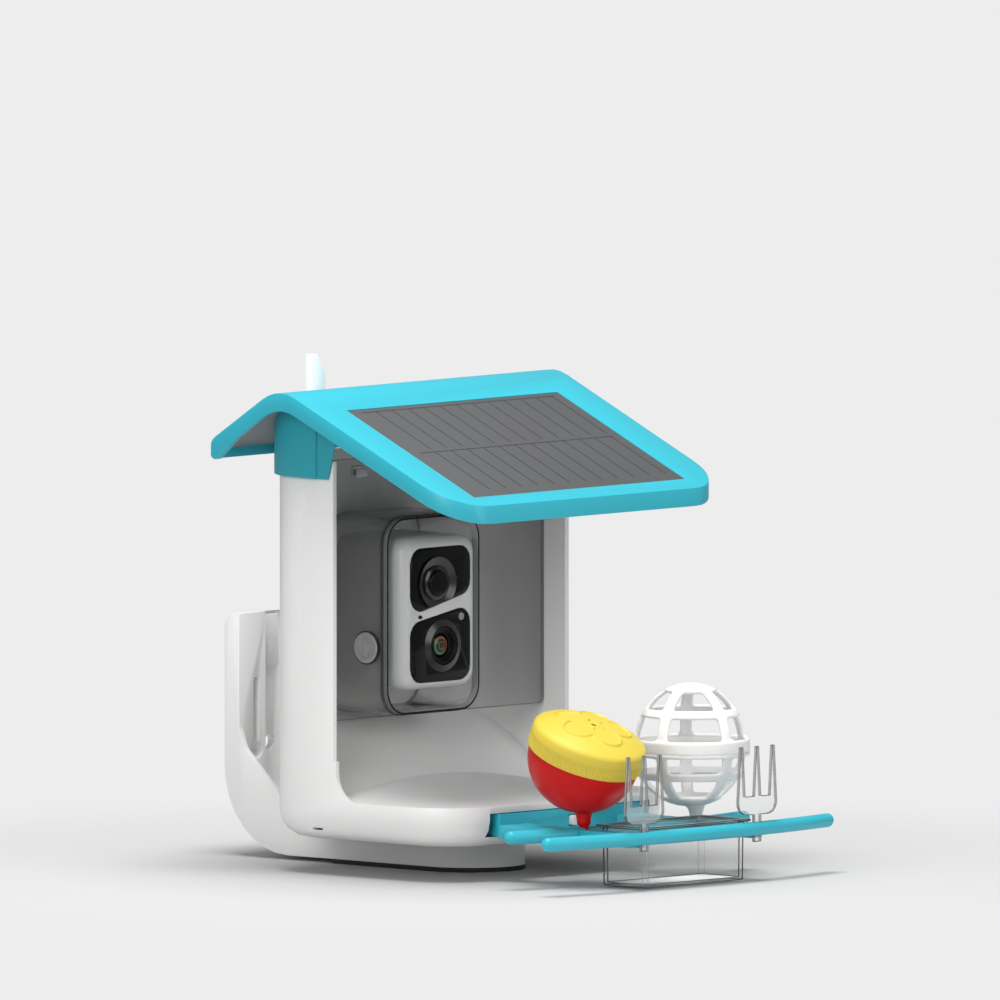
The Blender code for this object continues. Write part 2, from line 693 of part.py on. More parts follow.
def make_housing():
    """Seed house: a moulded shell, open in front above a tray with a swept-down rim."""
    housing = plate("housing", [body_outline(0)], BODY_LOW_Z, BODY_TOP_Z + BODY_BOTTOM_ROUND, "white",
                    edge=BODY_BOTTOM_ROUND, edge_steps=BOTTOM_ROUND_STEPS)
    hollow = plate("house_hollow", [body_outline(BODY_WALL)], BODY_FLOOR_Z,
                   BODY_TOP_Z + 2 * BODY_BOTTOM_ROUND, edge=BODY_BOTTOM_ROUND - BODY_WALL)
    cut(housing, hollow)
    boss = turned("screw_boss", [(0, BODY_FLOOR_Z + BOSS_HEIGHT), (BOSS_RADIUS, BODY_FLOOR_Z + BOSS_HEIGHT),
                                 (BOSS_RADIUS, BODY_LOW_Z + BODY_WALL / 2),
                                 (0, BODY_LOW_Z + BODY_WALL / 2)])
    fuse(housing, boss)
    step_y = WALL_FRONT_Y - WALL_STEP
    far = BODY_HALF_DEPTH + OVERRUN
    top = BODY_TOP_Z + 2 * BODY_BOTTOM_ROUND
    opening = rounded([(WALL_FRONT_Y, BODY_TOP_Z, 0), (WALL_FRONT_Y, WALL_STEP_Z, 0),
                       (step_y, WALL_STEP_Z, 0), (step_y, RIM_Z, FRONT_FILLET),
                       (-far, RIM_Z, 0), (-far, top, 0), (far, top, 0), (far, BODY_TOP_Z, 0)])
    cut(housing, plate("front_opening", [opening], -CUTTER_REACH / 2, CUTTER_REACH / 2, turn=ALONG_X))
    for name, sign in (("left", -1), ("right", 1)):
        inner, outer = sorted((sign * HINGE_KNUCKLE_INNER_X, sign * (BODY_HALF_WIDTH + OVERRUN)))
        cut(housing, box(name + "_corner_cut", (inner, CORNER_CUT_Y, BODY_CORNER_TOP_Z),
                         (outer, far, top)))
        start, end = sorted((sign * (BODY_HALF_WIDTH - DRAIN_REACH), sign * (BODY_HALF_WIDTH + OVERRUN)))
        cut(housing, box(name + "_drain", (start, DRAIN_Y - DRAIN_LENGTH / 2, DRAIN_Z),
                         (end, DRAIN_Y + DRAIN_LENGTH / 2, DRAIN_Z + DRAIN_HEIGHT)))
    slot = plate("front_slot", [rectangle(-FRONT_SLOT_HALF_WIDTH, FRONT_SLOT_HALF_WIDTH, FRONT_SLOT_LOW_Z,
                                          FRONT_SLOT_TOP_Z)],
                 -far, BODY_CORNER - BODY_HALF_DEPTH, turn=ALONG_Y)
    cut(housing, slot)
    aperture = rectangle(-CAMERA_HALF_WIDTH - GAP, CAMERA_HALF_WIDTH + GAP, CAMERA_LOW_Z - GAP,
                         CAMERA_TOP_Z + GAP, CAMERA_CORNER + GAP)
    cut(housing, plate("camera_aperture", [aperture], INNER_BACK_Y - OVERRUN, far, turn=ALONG_Y))
    cut(housing, rod("screw_bore", SCREW_RADIUS + GAP, (0, 0, BODY_LOW_Z - OVERRUN),
                     (0, 0, BODY_FLOOR_Z + BOSS_HEIGHT + OVERRUN)))
    add_hinge_lugs(housing)


def add_hinge_lugs(housing):
    """Two lugs on the back wall that carry the roof's hinge pins."""
    wall_y = BODY_HALF_DEPTH - BODY_WALL / 2
    ear = [Vector((wall_y, HINGE_LUG_FOOT_Z)), Vector((wall_y, BODY_TOP_Z))]
    steps = SMALL_TURN_STEPS // 2
    for step in range(steps + 1):
        angle = HINGE_LUG_ARC_END * (1 - 2 * step / steps)
        ear.append(Vector((HINGE_Y + HINGE_LUG_RADIUS * math.cos(angle),
                           HINGE_Z + HINGE_LUG_RADIUS * math.sin(angle))))
    for name, sign in (("left", -1), ("right", 1)):
        low, high = sorted((sign * HINGE_LUG_INNER_X, sign * HINGE_LUG_OUTER_X))
        lug = plate(name + "_hinge_lug", [ear], low, high, turn=ALONG_X)
        fuse(housing, lug)
        cut(housing, rod(name + "_lug_bore", HINGE_PIN_RADIUS + GAP, (low - GAP, HINGE_Y, HINGE_Z),
                         (high + GAP, HINGE_Y, HINGE_Z)))


def make_hinge_pins():
    """Steel pins on which the roof turns."""
    for name, sign in (("left", -1), ("right", 1)):
        start = (sign * HINGE_LUG_INNER_X, HINGE_Y, HINGE_Z)
        end = (sign * (HINGE_KNUCKLE_OUTER_X - GAP), HINGE_Y, HINGE_Z)
        rod(name + "_hinge_pin", HINGE_PIN_RADIUS, start, end, "steel")


def ramp_height(x, y):
    """Height of the seed ramp: a gentle apron in front of a crease, a steeper slope behind it."""
    front_y = BODY_WALL - BODY_HALF_DEPTH
    crease = RAMP_CREASE_Z - RAMP_CREASE_DROP * (x / (BODY_HALF_WIDTH - BODY_WALL)) ** 2
    if y <= RAMP_CREASE_Y:
        return RAMP_FRONT_Z + (crease - RAMP_FRONT_Z) * (y - front_y) / (RAMP_CREASE_Y - front_y)
    return crease + (RAMP_BACK_Z - crease) * (y - RAMP_CREASE_Y) / (INNER_BACK_Y - RAMP_CREASE_Y)


def make_ramp():
    """Seed ramp that leads the seed from the bin down to the tray."""
    work = bmesh.new()
    bmesh.ops.create_grid(work, x_segments=RAMP_CELLS_X, y_segments=RAMP_CELLS_Y, size=1)
    half_cells = RAMP_CELLS_Y / 2
    for vertex in work.verts:
        row = round((vertex.co.y + 1) * half_cells)
        y = ramp_row(row)
        x = vertex.co.x * (BODY_HALF_WIDTH + OVERRUN)
        vertex.co = (x, y, ramp_height(x, y))
    mesh = bpy.data.meshes.new("seed_ramp")
    work.to_mesh(mesh)
    work.free()
    ramp = add_part("seed_ramp", mesh, "grey")
    shell = ramp.modifiers.new("thickness", "SOLIDIFY")
    shell.thickness = RAMP_THICKNESS
    shell.offset = -1
    trim(ramp, plate("ramp_outline", [body_outline(BODY_WALL + GAP)], 0, BODY_TOP_Z))


def ramp_row(row):
    """Y of a row of the ramp's grid, so that one row lies on the crease."""
    back_rows = RAMP_CELLS_Y // 3
    front_rows = RAMP_CELLS_Y - back_rows
    far = BODY_HALF_DEPTH + OVERRUN
    if row <= front_rows:
        return -far + (RAMP_CREASE_Y + far) * row / front_rows
    return RAMP_CREASE_Y + (far - RAMP_CREASE_Y) * (row - front_rows) / back_rows


def window_outline(grow=0.0):
    """Outline of the camera window in the clear panel, grown by a distance."""
    return rectangle(-WINDOW_HALF_WIDTH - grow, WINDOW_HALF_WIDTH + grow, WINDOW_LOW_Z - grow,
                     WINDOW_TOP_Z + grow, WINDOW_CORNER + grow)


def make_front_panel():
    """Clear front of the seed bin with its camera window and two latch notches."""
    half_width = BODY_HALF_WIDTH - BODY_WALL - GAP
    outlines = [rectangle(-half_width, half_width, PANEL_LOW_Z, PANEL_TOP_Z, PANEL_CORNER),
                window_outline(BEZEL_WALL + GAP)]
    for x in (-NOTCH_X, NOTCH_X):
        outlines.append(rectangle(x - NOTCH_WIDTH / 2, x + NOTCH_WIDTH / 2, NOTCH_Z - NOTCH_HEIGHT / 2,
                                  NOTCH_Z + NOTCH_HEIGHT / 2))
    plate("front_panel", outlines, PANEL_Y, PANEL_BACK_Y, "clear", ALONG_Y)
    plate("window_bezel", [window_outline(BEZEL_WALL), window_outline()], PANEL_Y - BEZEL_PROUD,
          PANEL_BACK_Y, "black", ALONG_Y)


def make_tunnel():
    """Tunnel that keeps the seed off the camera, with the lock knob in its left wall."""
    tunnel = plate("camera_tunnel", [window_outline(TUNNEL_WALL), window_outline()],
                   PANEL_BACK_Y + GAP, INNER_BACK_Y - GAP, "pale", ALONG_Y)
    wall_x = -WINDOW_HALF_WIDTH
    cut(tunnel, rod("knob_bore", KNOB_SHAFT_RADIUS + GAP, (wall_x - TUNNEL_WALL - OVERRUN, KNOB_Y, KNOB_Z),
                    (wall_x + OVERRUN, KNOB_Y, KNOB_Z)))
    seat = TUNNEL_HALF_WIDTH + GAP
    tip = CAMERA_HALF_WIDTH + GAP
    length = seat + KNOB_THICKNESS - tip
    rim = KNOB_THICKNESS / 5
    profile = [(0, length - rim), (KNOB_RADIUS - 2 * rim, length - rim), (KNOB_RADIUS - rim, length),
               (KNOB_RADIUS, length - rim), (KNOB_RADIUS, length - KNOB_THICKNESS),
               (KNOB_SHAFT_RADIUS, length - KNOB_THICKNESS), (KNOB_SHAFT_RADIUS, 0), (0, 0)]
    turned("camera_lock_knob", profile, "pale", (-tip, KNOB_Y, KNOB_Z), (0, -math.pi / 2, 0))


def quarter_arc(radius, rise, steps, low=0.0):
    """Profile of a shallow dome, from its top out to its rim."""
    angles = [math.pi / 2 * step / steps for step in range(steps + 1)]
    return [(radius * math.sin(angle), low + rise * math.cos(angle)) for angle in angles]


def camera_outline(grow):
    """Front outline of the camera, grown by a distance."""
    return rectangle(-CAMERA_HALF_WIDTH - grow, CAMERA_HALF_WIDTH + grow, CAMERA_LOW_Z - grow,
                     CAMERA_TOP_Z + grow, CAMERA_CORNER + grow)


def lens_window(low_left, low_right, top_left, top_right, grow=0.0):
    """Outline of a black window whose edge towards the middle of the camera slants."""
    half = LENS_WINDOW_HALF_WIDTH + grow
    corner = LENS_WINDOW_CORNER + grow
    return rounded([(-half, low_left - grow, corner), (half, low_right - grow, corner),
                    (half, top_right + grow, corner), (-half, top_left + grow, corner)])


def upper_window(grow=0.0):
    return lens_window(UPPER_WINDOW_LEFT_Z, UPPER_WINDOW_RIGHT_Z, UPPER_WINDOW_TOP_Z,
                       UPPER_WINDOW_TOP_Z, grow)


def lower_window(grow=0.0):
    return lens_window(LOWER_WINDOW_LOW_Z, LOWER_WINDOW_LOW_Z, LOWER_WINDOW_LEFT_Z,
                       LOWER_WINDOW_RIGHT_Z, grow)


def make_camera_shell():
    """Camera housing: a rounded sleeve closed in front, with two recesses for the black windows."""
    shell = plate("camera_shell", [camera_outline(0)], CAMERA_FRONT_Y, CAMERA_BACK_Y + CAMERA_FRONT_ROUND,
                  "white", ALONG_Y, edge=CAMERA_FRONT_ROUND)
    far = CAMERA_BACK_Y + CAMERA_FRONT_ROUND + OVERRUN
    reach = CAMERA_HALF_WIDTH + OVERRUN
    cut(shell, box("camera_back_cut", (-reach, CAMERA_BACK_Y, CAMERA_LOW_Z - OVERRUN),
                   (reach, far, CAMERA_TOP_Z + OVERRUN)))
    cut(shell, plate("camera_hollow", [camera_outline(-CAMERA_WALL)], CAMERA_FRONT_Y + 2 * CAMERA_WALL, far,
                     turn=ALONG_Y))
    depth = CAMERA_FRONT_Y + LENS_WINDOW_THICKNESS + 2 * GAP
    cut(shell, plate("window_recesses", [upper_window(GAP), lower_window(GAP)], CAMERA_FRONT_Y - OVERRUN,
                     depth, turn=ALONG_Y))
    cut(shell, rod("microphone_hole", MIC_RADIUS, (MIC_X, CAMERA_FRONT_Y - OVERRUN, MIC_Z),
                   (MIC_X, CAMERA_FRONT_Y + CAMERA_WALL, MIC_Z), steps=SMALL_TURN_STEPS // 2))
    cut(shell, rod("lens_hole", LENS_RING_RADIUS + GAP, (LENS_X, CAMERA_FRONT_Y - OVERRUN, LENS_Z),
                   (LENS_X, BOARD_Y, LENS_Z), steps=TURN_STEPS))


def make_camera_windows():
    """Two black windows with the motion sensor, the lens and the small light sensor in them."""
    front = CAMERA_FRONT_Y + GAP
    back = front + LENS_WINDOW_THICKNESS
    sensor_hole = circle(SENSOR_X, SENSOR_Z, SENSOR_RADIUS + GAP)
    plate("upper_window", [upper_window(), sensor_hole], front, back, "black", ALONG_Y)
    lens_hole = circle(LENS_X, LENS_Z, LENS_RING_RADIUS + GAP)
    light_hole = circle(LIGHT_X, LIGHT_Z, LIGHT_RADIUS + GAP, SMALL_TURN_STEPS // 2)
    plate("lower_window", [lower_window(), lens_hole, light_hole], front, back, "black", ALONG_Y)
    profile = quarter_arc(SENSOR_RADIUS, SENSOR_BULGE, SMALL_DOME_STEPS)
    profile += [(SENSOR_RADIUS, -LENS_WINDOW_THICKNESS), (0, -LENS_WINDOW_THICKNESS)]
    turned("motion_sensor", profile, "black", (SENSOR_X, front, SENSOR_Z), ALONG_Y)
    light = [(0, 0), (LIGHT_RADIUS, 0), (LIGHT_RADIUS, -LENS_WINDOW_THICKNESS), (0, -LENS_WINDOW_THICKNESS)]
    turned("light_sensor", light, "pale", (LIGHT_X, front, LIGHT_Z), ALONG_Y, SMALL_TURN_STEPS // 2)


def make_lens():
    """Lens barrel with a stepped cone round the front glass."""
    inner = LENS_GLASS_RADIUS + GAP
    step_radius = (LENS_RING_RADIUS + inner) / 2
    step = LENS_RING_DEPTH / 8
    barrel = [(inner, -step), (step_radius, -step), (step_radius, 0), (LENS_RING_RADIUS, 0),
              (LENS_RING_RADIUS, -LENS_RING_DEPTH), (inner, -LENS_RING_DEPTH)]
    front = (LENS_X, CAMERA_FRONT_Y + GAP, LENS_Z)
    turned("lens_barrel", barrel, "black", front, ALONG_Y, closed=True)
    glass_low = -2 * step - LENS_GLASS_CROWN
    glass = quarter_arc(LENS_GLASS_RADIUS, LENS_GLASS_CROWN, SMALL_DOME_STEPS, glass_low)
    glass += [(LENS_GLASS_RADIUS, -LENS_RING_DEPTH), (0, -LENS_RING_DEPTH)]
    turned("lens_glass", glass, "lens", front, ALONG_Y)


def make_camera_inside():
    """Circuit board and battery cells inside the camera."""
    half = CAMERA_HALF_WIDTH - CAMERA_WALL - GAP
    low = CAMERA_LOW_Z + CAMERA_WALL + GAP
    high = CAMERA_TOP_Z - CAMERA_WALL - GAP
    board = rectangle(-half, half, low, high, CAMERA_CORNER - CAMERA_WALL)
    plate("circuit_board", [board], BOARD_Y, BOARD_Y + BOARD_THICKNESS, "green", ALONG_Y)
    reach = BATTERY_PITCH / 2 + BATTERY_RADIUS
    pack = rectangle(-reach, reach, BATTERY_Y - BATTERY_RADIUS, BATTERY_Y + BATTERY_RADIUS,
                     BATTERY_RADIUS * BATTERY_ROUND_SHARE)
    plate("battery_pack", [pack], low, low + BATTERY_LENGTH, "battery", edge=BATTERY_RADIUS / 12,
          edge_steps=1)


def make_back_cover():
    """Back cover of the camera with its button, charging port and antenna lugs."""
    back = BACK_COVER_Y + BACK_COVER_THICKNESS
    cover = plate("camera_back_cover", [camera_outline(0)], BACK_COVER_Y, back, "white", ALONG_Y)
    half_lug = ANTENNA_WIDTH / 2 + RUNNING_GAP
    ear = [Vector((BACK_COVER_Y + BACK_COVER_THICKNESS / 2, ANTENNA_PIVOT_Z - ANTENNA_LUG_RADIUS)),
           Vector((BACK_COVER_Y + BACK_COVER_THICKNESS / 2, ANTENNA_PIVOT_Z + ANTENNA_LUG_RADIUS))]
    steps = SMALL_TURN_STEPS // 2
    for step in range(steps + 1):
        angle = math.pi / 2 - math.pi * step / steps
        ear.append(Vector((ANTENNA_Y + ANTENNA_LUG_RADIUS * math.cos(angle),
                           ANTENNA_PIVOT_Z + ANTENNA_LUG_RADIUS * math.sin(angle))))
    for name, sign in (("left", -1), ("right", 1)):
        low, high = sorted((sign * half_lug, sign * (half_lug + ANTENNA_LUG)))
        fuse(cover, plate(name + "_antenna_lug", [ear], low, high, turn=ALONG_X))
    bore_reach = half_lug + ANTENNA_LUG + OVERRUN
    cut(cover, rod("antenna_bore", ANTENNA_PIN_RADIUS + GAP, (-bore_reach, ANTENNA_Y, ANTENNA_PIVOT_Z),
                   (bore_reach, ANTENNA_Y, ANTENNA_PIVOT_Z), steps=SMALL_TURN_STEPS // 2))
    cut(cover, rod("button_bore", BUTTON_RADIUS + RUNNING_GAP, (BUTTON_X, BACK_COVER_Y - OVERRUN, BUTTON_Z),
                   (BUTTON_X, back + OVERRUN, BUTTON_Z)))
    port = rectangle(PORT_X - PORT_WIDTH / 2, PORT_X + PORT_WIDTH / 2, PORT_Z - PORT_HEIGHT / 2,
                     PORT_Z + PORT_HEIGHT / 2, PORT_HEIGHT * PORT_ROUND_SHARE)
    cut(cover, plate("port_hole", [port], BACK_COVER_Y - OVERRUN, back + OVERRUN, turn=ALONG_Y))
    rod("power_button", BUTTON_RADIUS, (BUTTON_X, BACK_COVER_Y, BUTTON_Z),
        (BUTTON_X, back + BUTTON_PROUD, BUTTON_Z), "rubber")
    flap = rectangle(PORT_X - PORT_COVER_WIDTH / 2, PORT_X + PORT_COVER_WIDTH / 2,
                     PORT_Z - PORT_COVER_HEIGHT / 2, PORT_Z + PORT_COVER_HEIGHT / 2, PORT_COVER_HEIGHT / 4)
    plate("charge_port_cover", [flap], back + GAP, back + GAP + PORT_COVER_THICKNESS, "rubber", ALONG_Y)


def make_antenna():
    """Folding antenna on its pin."""
    half = ANTENNA_WIDTH / 2
    low = ANTENNA_PIVOT_Z - ANTENNA_THICKNESS / 2
    outline = rounded([(-half, low, 0), (half, low, 0), (half, ANTENNA_TOP_Z - ANTENNA_CHAMFER_HEIGHT, 0),
                       (half - ANTENNA_CHAMFER_WIDTH, ANTENNA_TOP_Z, 0), (-half, ANTENNA_TOP_Z, 0)])
    front = ANTENNA_Y - ANTENNA_THICKNESS / 2
    back = ANTENNA_Y + ANTENNA_THICKNESS / 2
    antenna = plate("antenna", [outline], front, back, "white", ALONG_Y)
    side = [Vector((front, ANTENNA_TOP_Z + OVERRUN)), Vector((front, ANTENNA_PIVOT_Z))]
    steps = SMALL_TURN_STEPS // 2
    for step in range(1, steps):
        angle = math.pi + math.pi * step / steps
        side.append(Vector((ANTENNA_Y + ANTENNA_THICKNESS / 2 * math.cos(angle),
                            ANTENNA_PIVOT_Z + ANTENNA_THICKNESS / 2 * math.sin(angle))))
    side += [Vector((back, ANTENNA_PIVOT_Z)), Vector((back, ANTENNA_TOP_Z + OVERRUN))]
    trim(antenna, plate("antenna_side", [side], -ANTENNA_WIDTH, ANTENNA_WIDTH, turn=ALONG_X))
    cut(antenna, rod("antenna_eye", ANTENNA_PIN_RADIUS + GAP, (-ANTENNA_WIDTH, ANTENNA_Y, ANTENNA_PIVOT_Z),
                     (ANTENNA_WIDTH, ANTENNA_Y, ANTENNA_PIVOT_Z), steps=SMALL_TURN_STEPS // 2))
    reach = half + RUNNING_GAP + ANTENNA_LUG
    rod("antenna_pin", ANTENNA_PIN_RADIUS, (-reach, ANTENNA_Y, ANTENNA_PIVOT_Z),
        (reach, ANTENNA_Y, ANTENNA_PIVOT_Z), "steel", SMALL_TURN_STEPS // 2)


def roof_plan(inset):
    """Plan outline of the roof, moved in by a distance."""
    front = ROOF_FRONT_CORNER - inset
    back = max(ROOF_BACK_CORNER - inset, ROOF_BACK_CORNER / 4)
    half = ROOF_HALF_WIDTH - inset
    return rounded([(-half, EAVE_Y + inset, front), (half, EAVE_Y + inset, front),
                    (half, BACK_EAVE_Y - inset, back), (-half, BACK_EAVE_Y - inset, back)])


def below_roof(drop, low_z, front_y, back_y):
    """Side outline of the space under the roof's top face, lowered by a distance."""
    front_top = RIDGE_Z - ROOF_SLOPE * (RIDGE_Y - front_y) - drop
    back_top = RIDGE_Z - BACK_SLOPE * (back_y - RIDGE_Y) - drop
    return rounded([(front_y, low_z, 0), (back_y, low_z, 0), (back_y, back_top, 0),
                    (RIDGE_Y, RIDGE_Z - drop, RIDGE_ROUND), (front_y, front_top, 0)])


def make_roof_shell():
    """Roof: one moulded saddle with a skirt all round and a recess for the solar panel."""
    band_end = RIDGE_Z - BACK_SLOPE * (ROOF_BAND_END_Y - RIDGE_Y) - ROOF_BAND
    far = CUTTER_REACH / 2
    side = rounded([(EAVE_Y, EAVE_TOP_Z - ROOF_BAND, 0), (RIDGE_Y, RIDGE_Z - ROOF_BAND, RIDGE_ROUND),
                    (ROOF_BAND_END_Y, band_end, 0), (BACK_EAVE_Y, BACK_EAVE_LOW_Z, BACK_EAVE_LOW_ROUND),
                    (BACK_EAVE_Y, BACK_EAVE_TOP_Z, BACK_EAVE_ROUND), (RIDGE_Y, RIDGE_Z, RIDGE_ROUND),
                    (EAVE_Y, EAVE_TOP_Z, 0)])
    roof = plate("roof_shell", [side], -far, far, "teal", ALONG_X)
    trim(roof, plate("roof_plan", [roof_plan(0)], 0, CUTTER_REACH))
    hollow = plate("roof_hollow", [below_roof(ROOF_TOP_WALL, BACK_EAVE_LOW_Z / 2, EAVE_Y - OVERRUN,
                                              BACK_EAVE_Y + OVERRUN)], -far, far, turn=ALONG_X)
    trim(hollow, plate("roof_inner_plan", [roof_plan(ROOF_SIDE_WALL)], 0, CUTTER_REACH))
    cut(roof, hollow)
    cut(roof, solar_block("solar_recess", GAP, SOLAR_THICKNESS + SOLAR_SUNK + GAP, -OVERRUN))


def solar_block(name, grow, depth, sunk, finish=None):
    """A block on the front slope, from one depth under the top face to another."""
    length = SOLAR_LENGTH + 2 * grow
    half = SOLAR_HALF_WIDTH + grow
    piece = box(name, (-half, -length / 2, -depth), (half, length / 2, -sunk), finish)
    tilt = math.atan(ROOF_SLOPE)
    middle = -(depth + sunk) / 2
    surface = Vector((0, SOLAR_CENTRE_Y, RIDGE_Z - ROOF_SLOPE * (RIDGE_Y - SOLAR_CENTRE_Y)))
    piece.rotation_euler = (tilt, 0, 0)
    piece.location = surface + Vector((0, -math.sin(tilt), math.cos(tilt))) * middle
    return piece


def make_roof_trim():
    """Solar panel in the roof's recess and the pale liner under the roof."""
    solar_block("solar_panel", 0, SOLAR_THICKNESS + SOLAR_SUNK, SOLAR_SUNK, "solar")
    drop = ROOF_TOP_WALL + GAP
    reach = CUTTER_REACH / 2
    upper = below_roof(drop, BACK_EAVE_LOW_Z / 2, EAVE_Y, BACK_EAVE_Y)
    liner = plate("roof_liner", [upper], -reach, reach, "pale", ALONG_X)
    lower = below_roof(drop + LINER_THICKNESS, BACK_EAVE_LOW_Z / 4, EAVE_Y - OVERRUN, BACK_EAVE_Y + OVERRUN)
    cut(liner, plate("liner_hollow", [lower], -CUTTER_REACH, CUTTER_REACH, turn=ALONG_X))
    trim(liner, plate("liner_plan", [roof_plan(ROOF_SIDE_WALL + GAP)], 0, CUTTER_REACH))


def make_cheeks():
    """Side cheeks under the roof: they lap over the house walls and wrap its back corners."""
    inner = BODY_HALF_WIDTH + CHEEK_GAP
    outer = inner + CHEEK_WALL
    flange = inner + CHEEK_FLANGE_WALL
    back_inner = BODY_HALF_DEPTH + CHEEK_GAP
    back_outer = back_inner + CHEEK_WALL
    front = CHEEK_FLANGE_HIGH_Y - ROOF_FRONT_CORNER
    outer_corner = BODY_CORNER + CHEEK_GAP + CHEEK_WALL
    ceiling = ROOF_TOP_WALL + LINER_THICKNESS + 2 * GAP
    for name, sign in (("left", -1), ("right", 1)):
        plan = rounded([(sign * inner, front, 0), (sign * flange, front, 0),
                        (sign * flange, CHEEK_CREASE_Y, 0), (sign * outer, CHEEK_CREASE_Y, 0),
                        (sign * outer, back_outer, outer_corner), (sign * HINGE_LUG_INNER_X, back_outer, 0),
                        (sign * HINGE_LUG_INNER_X, back_inner, 0),
                        (sign * inner, back_inner, BODY_CORNER + CHEEK_GAP)])
        cheek = plate(name + "_cheek", [plan], CHEEK_LOW_Z, RIDGE_Z, "teal")
        knuckle = rod(name + "_knuckle", HINGE_LUG_RADIUS, (sign * HINGE_KNUCKLE_INNER_X, HINGE_Y, HINGE_Z),
                      (sign * HINGE_KNUCKLE_OUTER_X, HINGE_Y, HINGE_Z))
        cut(cheek, box(name + "_cheek_end", (-HINGE_KNUCKLE_INNER_X, 0, 0),
                       (HINGE_KNUCKLE_INNER_X, CUTTER_REACH, RIDGE_Z)))
        low, high = sorted((sign * HINGE_KNUCKLE_INNER_X, sign * HINGE_KNUCKLE_OUTER_X))
        neck = box(name + "_neck", (low, back_inner, HINGE_Z - HINGE_LUG_RADIUS),
                   (high, HINGE_Y, HINGE_Z + HINGE_LUG_RADIUS))
        fuse(cheek, knuckle, neck)
        roof_side = below_roof(ceiling, CHEEK_LOW_Z - OVERRUN, front - OVERRUN,
                               BACK_EAVE_Y - ROOF_SIDE_WALL - GAP)
        trim(cheek, plate(name + "_cheek_top", [roof_side], -CUTTER_REACH, CUTTER_REACH, turn=ALONG_X))
        slant = (CHEEK_FLANGE_LOW_Y - CHEEK_FLANGE_HIGH_Y) / (CHEEK_FLANGE_HIGH_Z - CHEEK_LOW_Z)
        rise = RIDGE_Z - CHEEK_LOW_Z
        slope_cut = [Vector((CHEEK_FLANGE_LOW_Y + slant * OVERRUN, CHEEK_LOW_Z - OVERRUN)),
                     Vector((CHEEK_FLANGE_LOW_Y - slant * rise, RIDGE_Z)),
                     Vector((front - OVERRUN, RIDGE_Z)), Vector((front - OVERRUN, CHEEK_LOW_Z - OVERRUN))]
        cut(cheek, plate(name + "_cheek_front", [slope_cut], -CUTTER_REACH, CUTTER_REACH, turn=ALONG_X))
        cut(cheek, rod(name + "_cheek_bore", HINGE_PIN_RADIUS + GAP,
                       (sign * (HINGE_KNUCKLE_INNER_X - GAP), HINGE_Y, HINGE_Z),
                       (sign * (HINGE_KNUCKLE_OUTER_X + GAP), HINGE_Y, HINGE_Z)))


def bar_places(half_length, end_y, bow, height):
    """Places along a perch bar that bows to the front."""
    places = []
    for step in range(BAR_POINTS):
        share = 2 * step / (BAR_POINTS - 1) - 1
        places.append((half_length * share, end_y - bow * (1 - share * share), height))
    return places


def bar_y(x, half_length, end_y, bow):
    """Y of a bar's centre line at a given X."""
    return end_y - bow * (1 - (x / half_length) ** 2)


def back_bar_y(x):
    return bar_y(x, BACK_BAR_HALF_LENGTH, BACK_BAR_END_Y, BACK_BAR_BOW)


def front_bar_y(x):
    return bar_y(x, FRONT_BAR_HALF_LENGTH, FRONT_BAR_END_Y, FRONT_BAR_BOW)


def ball(name, radius, place):
    """A round end for a bar."""
    profile = sphere_arc(radius, 0, math.pi, SMALL_TURN_STEPS // 2)
    profile[0] = (0, radius)
    profile[-1] = (0, -radius)
    return turned(name, profile, None, place, steps=SMALL_TURN_STEPS // 2)


def make_bars():
    """Two bowed perch bars with round ends and the sockets for what stands on them."""
    back_places = bar_places(BACK_BAR_HALF_LENGTH, BACK_BAR_END_Y, BACK_BAR_BOW, BACK_BAR_Z)
    back_bar = tube("back_perch_bar", back_places, BAR_RADIUS, "teal")
    front_places = bar_places(FRONT_BAR_HALF_LENGTH, FRONT_BAR_END_Y, FRONT_BAR_BOW, FRONT_BAR_Z)
    front_bar = tube("front_perch_bar", front_places, BAR_RADIUS, "teal")
    for bar, places in ((back_bar, back_places), (front_bar, front_places)):
        fuse(bar, ball(bar.name + "_left_end", BAR_RADIUS, places[0]),
             ball(bar.name + "_right_end", BAR_RADIUS, places[-1]))
    top = BACK_BAR_Z + BAR_RADIUS
    for name, x in (("nectar_socket", NECTAR_X), ("suet_socket", SUET_X)):
        cut(back_bar, rod(name, PEG_RADIUS + GAP, (x, back_bar_y(x), top - PEG_DEPTH - GAP),
                          (x, back_bar_y(x), top + OVERRUN), steps=SMALL_TURN_STEPS // 2))
    for name, x in (("left_fork_slot", -FORK_X), ("right_fork_slot", FORK_X)):
        y = front_bar_y(x)
        reach = BAR_RADIUS + OVERRUN
        half_width = FORK_PEG_WIDTH / 2 + GAP
        half_thick = FORK_PEG_THICKNESS / 2 + GAP
        cut(front_bar, box(name, (x - half_width, y - half_thick, FRONT_BAR_Z - reach),
                           (x + half_width, y + half_thick, FRONT_BAR_Z + reach)))


